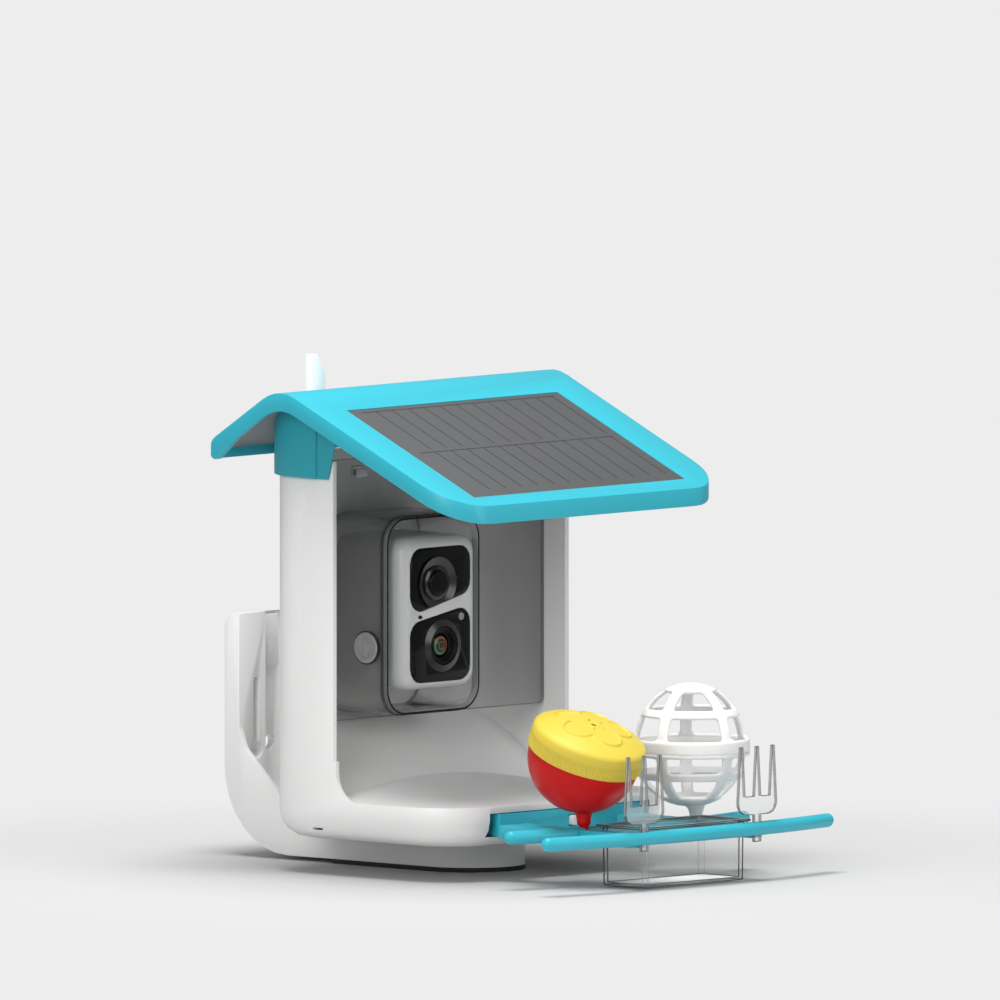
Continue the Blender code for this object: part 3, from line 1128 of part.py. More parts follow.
def make_carrier():
    """Perch carrier: a hollow tongue in the front slot and two arms that hold the bars."""
    carrier = plate("perch_carrier", [rectangle(-CARRIER_HALF_WIDTH, CARRIER_HALF_WIDTH, CARRIER_LOW_Z,
                                                CARRIER_TOP_Z)],
                    CARRIER_FRONT_Y, CARRIER_BACK_Y, "teal", ALONG_Y)
    wall = CARRIER_WALL
    half_hollow = CARRIER_HALF_WIDTH - wall
    cut(carrier, box("carrier_hollow", (-half_hollow, CARRIER_FRONT_Y + wall, CARRIER_LOW_Z + wall),
                     (half_hollow, CARRIER_BACK_Y + OVERRUN, CARRIER_TOP_Z - wall)))
    root_y = CARRIER_FRONT_Y + wall / 2
    end_y = front_bar_y(ARM_X) + BAR_RADIUS / 2
    for name, sign in (("left", -1), ("right", 1)):
        x = sign * ARM_X
        half = ARM_WIDTH / 2
        root = ARM_ROOT_WIDTH / 2
        neck_y = CARRIER_FRONT_Y - ARM_ROOT_LENGTH
        outline = rounded([(x - root, root_y, 0), (x - half, neck_y, ARM_ROOT_LENGTH),
                           (x - half, end_y, 0), (x + half, end_y, 0),
                           (x + half, neck_y, ARM_ROOT_LENGTH), (x + root, root_y, 0)])
        fuse(carrier, plate(name + "_arm", [outline], ARM_LOW_Z, ARM_TOP_Z))
    back_places = bar_places(BACK_BAR_HALF_LENGTH, BACK_BAR_END_Y, BACK_BAR_BOW, BACK_BAR_Z)
    front_places = bar_places(FRONT_BAR_HALF_LENGTH, FRONT_BAR_END_Y, FRONT_BAR_BOW, FRONT_BAR_Z)
    cut(carrier, tube("back_bar_seat", back_places, BAR_RADIUS + GAP),
        tube("front_bar_seat", front_places, BAR_RADIUS + GAP))
    half_width = RELEASE_WIDTH / 2 + RUNNING_GAP
    half_height = RELEASE_HEIGHT / 2 + RUNNING_GAP
    cut(carrier, box("release_hole", (-half_width, CARRIER_FRONT_Y - OVERRUN, RELEASE_Z - half_height),
                     (half_width, CARRIER_FRONT_Y + 2 * wall, RELEASE_Z + half_height)))
    button = rectangle(-RELEASE_WIDTH / 2, RELEASE_WIDTH / 2, RELEASE_Z - RELEASE_HEIGHT / 2,
                       RELEASE_Z + RELEASE_HEIGHT / 2, RELEASE_WIDTH / 4)
    plate("perch_release_button", [button], CARRIER_FRONT_Y - RELEASE_PROUD,
          CARRIER_FRONT_Y - RELEASE_PROUD + RELEASE_LENGTH, "white", ALONG_Y)


def cup_ring(work, half_width, half_depth, height):
    """One level ring of the cup's loft."""
    outline = rectangle(-half_width, half_width, -half_depth, half_depth, CUP_CORNER)
    return [work.verts.new((point.x, point.y + CUP_Y, height)) for point in outline]


def make_cup():
    """Clear jelly cup: a tapered box with a thin rim that rests on the front bar."""
    share = CUP_TAPER_SHARE
    rim_low = CUP_RIM_Z - CUP_RIM_THICKNESS
    width = CUP_TOP_HALF_WIDTH
    depth = CUP_TOP_HALF_DEPTH
    sections = [(width * share, depth * share, CUP_LOW_Z), (width, depth, rim_low),
                (CUP_RIM_HALF_WIDTH, CUP_RIM_HALF_DEPTH, rim_low),
                (CUP_RIM_HALF_WIDTH, CUP_RIM_HALF_DEPTH, CUP_RIM_Z),
                (width - CUP_WALL, depth - CUP_WALL, CUP_RIM_Z),
                (width * share - CUP_WALL, depth * share - CUP_WALL, CUP_LOW_Z + CUP_WALL)]
    work = bmesh.new()
    rings = [cup_ring(work, *section) for section in sections]
    for lower, upper in zip(rings, rings[1:]):
        for index in range(len(lower)):
            after = (index + 1) % len(lower)
            work.faces.new((lower[index], lower[after], upper[after], upper[index]))
    work.faces.new(rings[0])
    work.faces.new(rings[-1])
    bmesh.ops.recalc_face_normals(work, faces=work.faces)
    mesh = bpy.data.meshes.new("jelly_cup")
    work.to_mesh(mesh)
    work.free()
    add_part("jelly_cup", mesh, "clear")


def fork_outline(x):
    """Outline of a three-tined fork with a rounded base and a peg."""
    half = FORK_WIDTH / 2
    corners = [(x - FORK_PEG_WIDTH / 2, FORK_PEG_LOW_Z, 0), (x + FORK_PEG_WIDTH / 2, FORK_PEG_LOW_Z, 0),
               (x + FORK_PEG_WIDTH / 2, FORK_BASE_LOW_Z, 0), (x + half, FORK_BASE_LOW_Z, FORK_BASE_CORNER)]
    for tine in (1, 0, -1):
        centre = x + tine * FORK_TINE_PITCH
        corners.append((centre + FORK_TINE_WIDTH / 2, FORK_BASE_TOP_Z, 0))
        corners.append((centre + FORK_TIP_WIDTH / 2, FORK_TIP_Z, 0))
        corners.append((centre - FORK_TIP_WIDTH / 2, FORK_TIP_Z, 0))
        corners.append((centre - FORK_TINE_WIDTH / 2, FORK_BASE_TOP_Z, 0))
    corners += [(x - half, FORK_BASE_LOW_Z, FORK_BASE_CORNER), (x - FORK_PEG_WIDTH / 2, FORK_BASE_LOW_Z, 0)]
    return rounded(corners)


def make_forks():
    """Two clear fruit forks, each with a flat peg through the front bar."""
    half = FORK_PEG_THICKNESS / 2
    for name, x in (("left_fork", -FORK_X), ("right_fork", FORK_X)):
        y = front_bar_y(x)
        plate(name, [fork_outline(x)], y - half, y + half, "clear", ALONG_Y)


def sphere_arc(radius, start, end, steps):
    """Profile points (radius, height) of a sphere between two angles from the top."""
    points = []
    for step in range(steps + 1):
        angle = start + (end - start) * step / steps
        points.append((radius * math.sin(angle), radius * math.cos(angle)))
    return points


def make_nectar_feeder():
    """Nectar feeder: a tilted half-ball bowl on a stem, with a domed screw cap."""
    y = back_bar_y(NECTAR_X)
    centre = (NECTAR_X, y, BOWL_CENTRE_Z)
    outer = sphere_arc(BOWL_RADIUS, math.pi / 2, math.pi, DOME_STEPS)
    inner = sphere_arc(BOWL_RADIUS - BOWL_WALL, math.pi, math.pi / 2, DOME_STEPS)
    inner[0] = (0, BOWL_WALL - BOWL_RADIUS)
    outer[-1] = (0, -BOWL_RADIUS)
    bowl = turned("nectar_bowl", inner + outer, "red", centre, (-BOWL_TILT, 0, 0), BALL_TURN_STEPS)
    bar_top = BACK_BAR_Z + BAR_RADIUS
    stem_low = bar_top + GAP
    shoulder = stem_low + STEM_RADIUS
    stem_high = BOWL_CENTRE_Z - BOWL_RADIUS + BOWL_WALL / 2
    stem = turned("nectar_stem", [(0, stem_high), (STEM_HEAD_RADIUS, stem_high),
                                  (STEM_RADIUS, stem_high - STEM_RADIUS), (STEM_RADIUS, shoulder),
                                  (STEM_FOOT_RADIUS, stem_low), (PEG_RADIUS, stem_low),
                                  (PEG_RADIUS, bar_top - PEG_DEPTH), (0, bar_top - PEG_DEPTH)],
                  None, (NECTAR_X, y, 0))
    fuse(bowl, stem)
    make_nectar_cap(centre)


def cap_dome(radius, base):
    """Profile of the cap's crown, from its middle out to a radius, above a base height."""
    shares = [math.sin(math.pi / 2 * step / DOME_STEPS) for step in range(DOME_STEPS + 1)]
    return [(radius * share, base + CAP_CROWN * (1 - share ** CAP_CROWN_SHARE)) for share in shares]


def make_nectar_cap(centre):
    """Domed cap with one drinking hole in the middle."""
    inner_radius = CAP_RADIUS - CAP_WALL
    under = cap_dome(inner_radius, CAP_HEIGHT - CAP_WALL)
    under.reverse()
    profile = cap_dome(CAP_RADIUS, CAP_HEIGHT) + [(CAP_RADIUS, GAP), (inner_radius, GAP)] + under
    cap = turned("nectar_cap", profile, "yellow", centre, (-BOWL_TILT, 0, 0), BALL_TURN_STEPS)
    tilt = Vector((0, math.sin(BOWL_TILT), math.cos(BOWL_TILT)))
    top = CAP_HEIGHT + CAP_CROWN + OVERRUN
    cut(cap, rod("drinking_hole", CAP_HOLE_RADIUS, Vector(centre) + tilt * (CAP_HEIGHT / 2),
                 Vector(centre) + tilt * top, steps=SMALL_TURN_STEPS // 2))


def cage_half(name, sign, rise, ring, band, cap, finish):
    """One half of the suet cage: a thin half ball with windows cut between ribs and bands."""
    centre = (SUET_X, back_bar_y(SUET_X) + CAGE_SETBACK, CAGE_CENTRE_Z)
    ring_low = GAP / 2
    ring_high = ring_low + ring
    outer = half_ball(CAGE_RADIUS, rise, ring_high)
    inner = half_ball(CAGE_RADIUS - CAGE_WALL, rise - CAGE_WALL, ring_low)
    inner.reverse()
    profile = outer + [(CAGE_RING_RADIUS, ring_high), (CAGE_RING_RADIUS, ring_low)] + inner
    flip = UPRIGHT if sign > 0 else (math.pi, 0, 0)
    half = turned(name, profile, finish, centre, flip, BALL_TURN_STEPS)
    rows = ((ring_high + GAP, band - CAGE_BAND_HEIGHT / 2), (band + CAGE_BAND_HEIGHT / 2, cap))
    cut_cage_windows(half, sign, centre, rows)
    return half


def half_ball(radius, rise, low):
    """Profile of a half ball of its own height, from its pole down to a height."""
    reach = math.acos(low / rise)
    angles = [reach * step / DOME_STEPS for step in range(DOME_STEPS + 1)]
    return [(radius * math.sin(angle), rise * math.cos(angle)) for angle in angles]


def cut_cage_windows(half, sign, centre, rows):
    """Cut rows of windows between the ribs of a cage half."""
    inner = CAGE_RADIUS / 4
    outer = CAGE_RADIUS + OVERRUN
    for index in range(CAGE_RIBS):
        middle = CAGE_RIB_PHASE + 2 * math.pi * (index + 1 / 2) / CAGE_RIBS
        wedge = wedge_outline(middle, inner, outer)
        for row, (low, high) in enumerate(rows):
            bottom, top = sorted((centre[2] + sign * low, centre[2] + sign * high))
            window = plate(half.name + "_window_" + str(index) + "_" + str(row), [wedge], bottom, top)
            window.location.x += centre[0]
            window.location.y += centre[1]
            cut(half, window)


def wedge_outline(middle, inner, outer):
    """A wedge between two ribs, its sides parallel to the ribs that it leaves."""
    half_rib = CAGE_RIB_WIDTH / 2
    half_step = math.pi / CAGE_RIBS
    points = []
    for radius in (inner + half_rib, outer):
        reach = half_step - math.asin(min(half_rib / radius, math.sin(half_step / 2)))
        points.append((radius, reach))
    (near, near_reach), (far, far_reach) = points
    outline = [Vector((near * math.cos(middle + near_reach), near * math.sin(middle + near_reach))),
               Vector((near * math.cos(middle - near_reach), near * math.sin(middle - near_reach)))]
    for step in range(WEDGE_STEPS + 1):
        angle = middle - far_reach + 2 * far_reach * step / WEDGE_STEPS
        outline.append(Vector((far * math.cos(angle), far * math.sin(angle))))
    return outline


def make_suet_cage():
    """Suet cage: two half balls on a stem in the back bar."""
    cage_half("suet_cage_lid", 1, CAGE_LID_RISE, CAGE_LID_RING, CAGE_LID_BAND, CAGE_LID_CAP, "white")
    base = cage_half("suet_cage_base", -1, CAGE_BASE_DROP, CAGE_BASE_RING, CAGE_BASE_BAND,
                     CAGE_BASE_CAP, "pale")
    y = back_bar_y(SUET_X)
    bar_top = BACK_BAR_Z + BAR_RADIUS
    stem_high = CAGE_CENTRE_Z - CAGE_BASE_DROP + CAGE_WALL / 2
    stem_low = bar_top + GAP
    stem = turned("suet_stem", [(0, stem_high), (CAGE_STEM_HEAD_RADIUS, stem_high),
                                (CAGE_STEM_RADIUS, stem_low), (PEG_RADIUS, stem_low),
                                (PEG_RADIUS, bar_top - PEG_DEPTH), (0, bar_top - PEG_DEPTH)],
                  None, (SUET_X, y, 0))
    fuse(base, stem)


def build():
    make_pad()
    make_bracket()
    make_foot_screw()
    make_housing()
    make_hinge_pins()
    make_ramp()
    make_front_panel()
    make_tunnel()
    make_camera_shell()
    make_camera_windows()
    make_lens()
    make_camera_inside()
    make_back_cover()
    make_antenna()
    make_roof_shell()
    make_roof_trim()
    make_cheeks()
    make_bars()
    make_carrier()
    make_cup()
    make_forks()
    make_nectar_feeder()
    make_suet_cage()


build()
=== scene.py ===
# %% [markdown]
# A garden bird feeder with a camera: a white seed house under a teal saddle roof, a clear seed bin
# and a clip-on perch that carries a nectar bowl, a suet cage, two fruit forks and a jelly cup.
# The solid model comes in as a fixed frame. It already has every size, so this lesson only gives
# each part the finish, the soft edges and the fine forms that a moulded product shows.

# %% Load the frame
import json
import math

import bmesh
import bpy
from mathutils import Matrix, Vector


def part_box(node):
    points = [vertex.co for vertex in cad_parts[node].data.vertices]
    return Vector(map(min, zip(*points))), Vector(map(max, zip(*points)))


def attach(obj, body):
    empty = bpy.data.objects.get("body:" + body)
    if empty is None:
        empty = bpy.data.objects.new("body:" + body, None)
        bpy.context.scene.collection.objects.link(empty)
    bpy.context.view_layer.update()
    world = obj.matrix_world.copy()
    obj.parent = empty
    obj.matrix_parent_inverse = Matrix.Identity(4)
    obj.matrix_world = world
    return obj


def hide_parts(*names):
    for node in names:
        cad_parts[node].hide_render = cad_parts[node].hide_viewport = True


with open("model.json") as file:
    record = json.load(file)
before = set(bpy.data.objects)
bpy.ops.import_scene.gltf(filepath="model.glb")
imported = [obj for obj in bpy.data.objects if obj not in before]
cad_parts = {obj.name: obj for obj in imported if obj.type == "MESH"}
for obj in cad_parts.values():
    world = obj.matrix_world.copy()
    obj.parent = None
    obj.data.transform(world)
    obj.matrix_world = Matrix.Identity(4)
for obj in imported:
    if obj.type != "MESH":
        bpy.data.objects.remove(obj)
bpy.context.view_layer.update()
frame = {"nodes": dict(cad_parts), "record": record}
MM = 0.001
JOINTS = {joint["name"]: joint for joint in frame["record"]["behaviour"]["joints"]}
print("solid parts:", len(frame["nodes"]), "joints:", len(JOINTS))

# %% [markdown]
# The picture is a product shot: a parallel view from the left front, a little above the horizon.
# An orthographic camera gives the same parallel edges. It is turned by an azimuth and an elevation,
# and its middle is set by two distances, one across the picture and one up. The foot's rubber pad
# lifts the whole feeder a little, and the camera's target with it.

# %% Camera
AZIMUTH = math.radians(-46.5)
ELEVATION = math.radians(4.8)
VIEW_WIDTH = 540.5 * MM
TARGET_ACROSS = 16.2 * MM
TARGET_UP = 196.4 * MM
PAD_LIFT = 2.5 * MM
CAMERA_DISTANCE = 3.0
right = Vector((math.cos(AZIMUTH), math.sin(AZIMUTH), 0))
level = math.cos(ELEVATION)
back = Vector((math.sin(AZIMUTH) * level, -math.cos(AZIMUTH) * level, math.sin(ELEVATION)))
up = back.cross(right)
target = right * TARGET_ACROSS + up * TARGET_UP + Vector((0, 0, PAD_LIFT))
camera_data = bpy.data.cameras.new("product_camera")
camera_data.type = "ORTHO"
camera_data.ortho_scale = VIEW_WIDTH
camera_data.clip_end = 20
camera = bpy.data.objects.new("product_camera", camera_data)
bpy.context.scene.collection.objects.link(camera)
turn = Matrix((right, up, back)).transposed().to_4x4()
camera.matrix_world = Matrix.Translation(target + back * CAMERA_DISTANCE) @ turn
bpy.context.scene.camera = camera
print("camera looks from", [round(c, 2) for c in back])

# %% [markdown]
# Colours are written as the hex values that a designer picks from a screen. Shaders work in linear
# light, so one function turns each hex value into the numbers that a shader needs.

# %% Colour from hex
def linear(hex_code):
    """Linear red, green, blue and alpha of an sRGB hex value, by the sRGB standard's curve."""
    channels = [int(hex_code[place:place + 2], 16) / 255 for place in (1, 3, 5)]
    return tuple(c / 12.92 if c <= 0.04045 else ((c + 0.055) / 1.055) ** 2.4 for c in channels) + (1,)


print("teal in linear light:", [round(c, 3) for c in linear("#2BB2C5")])

# %% [markdown]
# Every material is a small graph of nodes. One helper adds a node, sets what it is told to set, and
# links it to the nodes before it, so a recipe reads as a short list of steps. Patterns are sized by
# the real grain in millimetres, because Object coordinates count in metres.

# %% Node helper
def add(tree, kind, settings=None, links=None):
    node = tree.nodes.new(kind)
    for name, value in (settings or {}).items():
        if isinstance(name, int) or name in node.inputs:
            node.inputs[name].default_value = value
        else:
            setattr(node, name, value)
    for name, output in (links or {}).items():
        tree.links.new(output, node.inputs[name])
    return node


def new_material(name, settings):
    material = bpy.data.materials.new(name)
    material.use_nodes = True
    shader = material.node_tree.nodes["Principled BSDF"]
    for socket, value in settings.items():
        shader.inputs[socket].default_value = value
    return material, material.node_tree, shader


def cells_per_metre(size_mm):
    return 1 / (size_mm * MM)


print("a 1 mm grain has scale", cells_per_metre(1))

# %% [markdown]
# Most of the feeder is injection-moulded ABS. A spark-eroded mould leaves a fine even grain, so light
# breaks up a little, and cooling leaves faint broad waves in colour and gloss. Three noises do that:
# a broad one for the colour, a middle one for the roughness and a fine one for the bump. The grain
# is drawn two to three times as coarse as it is, so that it shows at arm's length. The gloss varies
# only a little, because a plain moulded wall looks even and not cloudy.

# %% Moulded ABS
ABS_IOR = 1.53
TONE_SHARE = 0.03
TONE_WAVE_MM = 60
GLOSS_WAVE_MM = 9
GLOSS_SPREAD = 0.02


def moulded_abs(name, hex_code, roughness, grain_mm=0.5, grain_height_mm=0.01, shine=0.5):
    """Moulded plastic. Grain sizes are in millimetres, and shine is the share of mirrored light."""
    material, tree, shader = new_material(name, {"IOR": ABS_IOR, "Specular IOR Level": shine})
    place = add(tree, "ShaderNodeTexCoord").outputs["Object"]
    broad = add(tree, "ShaderNodeTexNoise", {"Scale": cells_per_metre(TONE_WAVE_MM), "Detail": 2},
                {"Vector": place})
    base = linear(hex_code)
    darker = tuple(c * (1 - TONE_SHARE) for c in base[:3]) + (1,)
    tone = add(tree, "ShaderNodeMix", {"data_type": "RGBA", 6: base, 7: darker}, {0: broad.outputs["Fac"]})
    tree.links.new(tone.outputs[2], shader.inputs["Base Color"])
    middle = add(tree, "ShaderNodeTexNoise", {"Scale": cells_per_metre(GLOSS_WAVE_MM), "Detail": 3},
                 {"Vector": place})
    gloss = add(tree, "ShaderNodeMapRange", {"To Min": roughness - GLOSS_SPREAD,
                                             "To Max": roughness + GLOSS_SPREAD},
                {"Value": middle.outputs["Fac"]})
    tree.links.new(gloss.outputs["Result"], shader.inputs["Roughness"])
    fine = add(tree, "ShaderNodeTexNoise", {"Scale": cells_per_metre(grain_mm), "Detail": 2},
               {"Vector": place})
    bump = add(tree, "ShaderNodeBump", {"Strength": 0.35, "Distance": grain_height_mm * MM},
               {"Height": fine.outputs["Fac"]})
    tree.links.new(bump.outputs["Normal"], shader.inputs["Normal"])
    return material


teal_abs = moulded_abs("Teal ABS, spark-eroded mould grain", "#2BB2C5", 0.42)
# Painted shade: the cheeks get this darker teal for the roof's shade over them.
teal_painted_shade = moulded_abs("Teal ABS, darker for painted roof shade", "#2C9AA9", 0.50, shine=0.25)
white_abs = moulded_abs("White ABS, satin moulded", "#EDEDEC", 0.36, grain_mm=0.6)
cage_white = moulded_abs("White polypropylene, satin moulded", "#F6F6F4", 0.34, grain_mm=0.6)
bright_white = moulded_abs("White nylon, moulded", "#FBFCFC", 0.40, grain_mm=0.6)
camera_white = moulded_abs("White ABS, fine polished mould", "#CFD1D1", 0.32, grain_mm=0.4)
ramp_white = moulded_abs("White ABS, matt moulded ramp", "#F2F2F1", 0.50, grain_mm=0.7)
liner_grey = moulded_abs("Grey ABS sheet, matt moulded", "#7C7F80", 0.55, grain_mm=0.7)
red_abs = moulded_abs("Red ABS, gloss moulded", "#C80A0C", 0.30, grain_height_mm=0.003, shine=0.2)
yellow_abs = moulded_abs("Yellow ABS, satin moulded", "#DCC64B", 0.45, shine=0.25)
print("moulded finishes ready")

# %% [markdown]
# The bin's front, the camera tunnel, the cup and the forks are clear styrene and polycarbonate. Such
# walls are thin: the eye sees through the faces, and only the polished edges, where light is caught
# inside, look dark; here that dark is painted shade. So a clear part has several finishes. Its faces let
# most light through by their alpha and keep a soft gloss, and the narrow rounded edges have a denser
# tone of painted shade. A wall seen from the side is denser too, because the eye looks through more of
# it, and its darker tone there is painted shade: a layer weight finds how far a face turns away, and the
# grazing range says between which turns the change lies.

# %% Clear plastics
CLEAR_IOR = 1.49
GRAZING_COVER = 0.8
FACE_GRAZING = (0.45, 0.85)
CORNER_GRAZING = (0.12, 0.38)
WAVE_MM = 25.0
WAVE_HEIGHT_MM = 0.05


def clear_plastic(name, hex_code, alpha, roughness=0.05, painted_shade_hex=None, grazing=FACE_GRAZING):
    """Clear plastic that covers more where it is seen from the side, there in a darker tone of painted
    shade if one is given.
    """
    material, tree, shader = new_material(name, {"Roughness": roughness, "IOR": CLEAR_IOR})
    place = add(tree, "ShaderNodeTexCoord").outputs["Object"]
    waves = add(tree, "ShaderNodeTexNoise", {"Scale": cells_per_metre(WAVE_MM), "Detail": 1},
                {"Vector": place})
    bump = add(tree, "ShaderNodeBump", {"Strength": 0.2, "Distance": WAVE_HEIGHT_MM * MM},
               {"Height": waves.outputs["Fac"]})
    tree.links.new(bump.outputs["Normal"], shader.inputs["Normal"])
    edge = add(tree, "ShaderNodeLayerWeight", {"Blend": 0.5})
    turned = add(tree, "ShaderNodeMapRange", {"From Min": grazing[0], "From Max": grazing[1]},
                 {"Value": edge.outputs["Facing"]})
    cover = add(tree, "ShaderNodeMapRange", {"To Min": alpha, "To Max": min(1.0, alpha + GRAZING_COVER)},
                {"Value": turned.outputs["Result"]})
    tree.links.new(cover.outputs["Result"], shader.inputs["Alpha"])
    # The tone seen from the side is painted shade, and the alpha there rises with it.
    face_on, edge_on = linear(hex_code), linear(painted_shade_hex or hex_code)
    tone = add(tree, "ShaderNodeMix", {"data_type": "RGBA", 6: face_on, 7: edge_on},
               {0: turned.outputs["Result"]})
    tree.links.new(tone.outputs[2], shader.inputs["Base Color"])
    return material


panel_clear = clear_plastic("Clear polycarbonate sheet, lightly smoked", "#5C5D5D", 0.13)
# Painted shade: the dark tones of edges, corners and fork sides stand for the dark that refraction gives
# clear plastic.
panel_edge_painted_shade = clear_plastic("Clear polycarbonate sheet, edge with painted shade", "#3C3E3F", 0.50)
tunnel_clear = clear_plastic("Clear polycarbonate, injection moulded", "#C2C2C2", 0.27, 0.10,
                             painted_shade_hex="#909293")
cup_clear = clear_plastic("Clear polystyrene, injection moulded", "#D6D7D7", 0.08, painted_shade_hex="#8A8E90")
cup_corner_painted_shade = clear_plastic("Clear polystyrene, corner with painted shade", "#D6D7D7", 0.10, painted_shade_hex="#1E2021",
                           grazing=CORNER_GRAZING)
# Painted highlight: the cup's floor is drawn bright white and nearly solid.
cup_floor_painted_highlight = clear_plastic("Clear polystyrene, floor with painted highlight", "#FFFFFF", 0.85)
cup_edge_painted_shade = clear_plastic("Clear polystyrene, edge with painted shade", "#26292A", 0.80)
fork_clear = clear_plastic("Clear polystyrene, fork face", "#F0F2F2", 0.20)
fork_side_painted_shade = clear_plastic("Clear polystyrene, fork side with painted shade", "#8E9292", 0.80)
fork_edge_painted_shade = clear_plastic("Clear polystyrene, fork edge with painted shade", "#3C4446", 0.75)
frosted = clear_plastic("Frosted polypropylene, moulded", "#F8F8F7", 0.84, 0.30)
print("clear finishes ready")

# %% [markdown]
# The camera's two windows are black acrylic with a mirror polish, and the motion sensor's dome sits
# in one of them. Rubber, zinc-plated steel, the circuit board and the cells are seen little, so each
# gets a short recipe from its usual values: one noise for the grain, which also varies the gloss.
# The bezel is black in front, and its grey plastic is bare inside and along its outer side.

# %% Small finishes
SMOOTHER = 0.03
ROUGHER = 0.05


def plain_finish(name, hex_code, roughness, metallic=0.0, grain_mm=1.0, height_mm=0.01, shine=0.5):
    """A plain finish whose grain makes it smoother in places and rougher in others."""
    material, tree, shader = new_material(name, {"Base Color": linear(hex_code), "Metallic": metallic,
                                                 "Specular IOR Level": shine})
    place = add(tree, "ShaderNodeTexCoord").outputs["Object"]
    grain = add(tree, "ShaderNodeTexNoise", {"Scale": cells_per_metre(grain_mm), "Detail": 3},
                {"Vector": place})
    bump = add(tree, "ShaderNodeBump", {"Strength": 0.3, "Distance": height_mm * MM},
               {"Height": grain.outputs["Fac"]})
    tree.links.new(bump.outputs["Normal"], shader.inputs["Normal"])
    smoothest = max(roughness - SMOOTHER, 0.0)
    spread = add(tree, "ShaderNodeMapRange", {"To Min": smoothest, "To Max": roughness + ROUGHER},
                 {"Value": grain.outputs["Fac"]})
    tree.links.new(spread.outputs["Result"], shader.inputs["Roughness"])
    return material


black_acrylic = plain_finish("Black acrylic, mirror polished", "#0D0E0F", 0.05, height_mm=0.001, shine=0.15)
dish_black = plain_finish("Black acrylic, satin dish", "#121314", 0.20, height_mm=0.002, shine=0.6)
bezel_grey = plain_finish("Grey ABS, bare inner face", "#B4B7B7", 0.40, shine=0.3)
bezel_side = plain_finish("Grey ABS, satin outer side", "#858888", 0.40, height_mm=0.003, shine=0.15)
bezel_black = plain_finish("Black ABS, semi-gloss", "#0C0D0D", 0.30, height_mm=0.003, shine=0.15)
knob_white = plain_finish("White ABS, moulded knob", "#F2F4F4", 0.30)
clip_grey = plain_finish("Grey polycarbonate, moulded clip", "#9B9E9F", 0.30)
black_rubber = plain_finish("Black silicone rubber, moulded", "#232325", 0.75)
zinc_steel = plain_finish("Zinc-plated steel, turned", "#C7C8CA", 0.3, metallic=1.0, grain_mm=0.3)
solder_mask = plain_finish("Glass-fibre board, green solder mask", "#1C5A37", 0.4)
cell_wrap = plain_finish("Lithium cell, blue shrink wrap", "#27539C", 0.3)
sensor_dome = plain_finish("Smoked polyethylene sensor dome", "#141516", 0.16, height_mm=0.002)
sensor_grey = plain_finish("Grey light-pipe plastic, moulded", "#8C8F90", 0.35)
print("small finishes ready")

# %% [markdown]
# The lens is ground glass under an anti-glare coating. Its reflections are painted into its colour: the
# coating's green light on one side and orange light on the other, and thin rings of pale and dark where
# the inner lenses lie. The rings follow the distance from the lens's axis, and the two colours follow the
# way across it.

# %% Coated lens with painted reflections
LENS_RADIUS = 6.2 * MM
# Painted reflections: these rings of pale and dark stand for the inner lenses seen in the glass.
RING_REFLECTION_STOPS = ((0.0, "#3A3230"), (0.12, "#6A5E54"), (0.22, "#141112"), (0.36, "#8C8078"), (0.46, "#16181A"),
              (0.60, "#5E625E"), (0.74, "#A8AAA6"), (0.84, "#1A1C1D"), (1.0, "#0C0D0E"))
# Painted reflections: the coating's green and orange glints are painted into the lens's colour.
GREEN_PAINTED_GLINT = "#7FD08A"
ORANGE_PAINTED_GLINT = "#FF8A64"
GLINT_WAY = (0.8, 0, 0.6)
GLINT_BLEND = 2 * MM
GLINT_SHARE = 0.8


def across_axis(tree, centre, axes):
    """Object coordinates counted from a centre, with one axis flattened away."""
    place = add(tree, "ShaderNodeTexCoord").outputs["Object"]
    start = tuple(-c * s for c, s in zip(centre, axes))
    return add(tree, "ShaderNodeMapping", {"Location": start, "Scale": axes}, {"Vector": place}).outputs[0]


def box_centre(node):
    low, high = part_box(node)
    return (Vector(low) + Vector(high)) / 2


def painted_ring_reflections(tree, share):
    """Painted reflections of the coating's rings, from the lens's middle to its rim."""
    rings = add(tree, "ShaderNodeValToRGB", links={"Fac": share})
    ramp = rings.color_ramp
    while len(ramp.elements) < len(RING_REFLECTION_STOPS):
        ramp.elements.new(0.5)
    for element, (position, shade) in zip(ramp.elements, RING_REFLECTION_STOPS):
        element.position = position
        element.color = linear(shade)
    return rings.outputs["Color"]


def lens_with_painted_reflections():
    material, tree, shader = new_material("Coated lens glass, painted reflections of its rings",
                                          {"Roughness": 0.06, "Specular IOR Level": 0.2})
    flat = across_axis(tree, box_centre("lens_glass"), (1, 0, 1))
    distance = add(tree, "ShaderNodeVectorMath", {"operation": "LENGTH"}, {0: flat})
    share = add(tree, "ShaderNodeMath", {"operation": "DIVIDE", 1: LENS_RADIUS},
                {0: distance.outputs["Value"]})
    rising = add(tree, "ShaderNodeVectorMath", {"operation": "DOT_PRODUCT", 1: GLINT_WAY}, {0: flat})
    side = add(tree, "ShaderNodeMapRange", {"From Min": -GLINT_BLEND, "From Max": GLINT_BLEND},
               {"Value": rising.outputs["Value"]})
    glint = add(tree, "ShaderNodeMix",
                {"data_type": "RGBA", 6: linear(GREEN_PAINTED_GLINT), 7: linear(ORANGE_PAINTED_GLINT)},
                {0: side.outputs["Result"]})
    tinted = add(tree, "ShaderNodeMix", {"data_type": "RGBA", "blend_type": "MULTIPLY", 0: GLINT_SHARE},
                 {6: painted_ring_reflections(tree, share.outputs[0]), 7: glint.outputs[2]})
    tree.links.new(tinted.outputs[2], shader.inputs["Base Color"])
    return material


lens_painted_reflections = lens_with_painted_reflections()
print("lens coating ready")

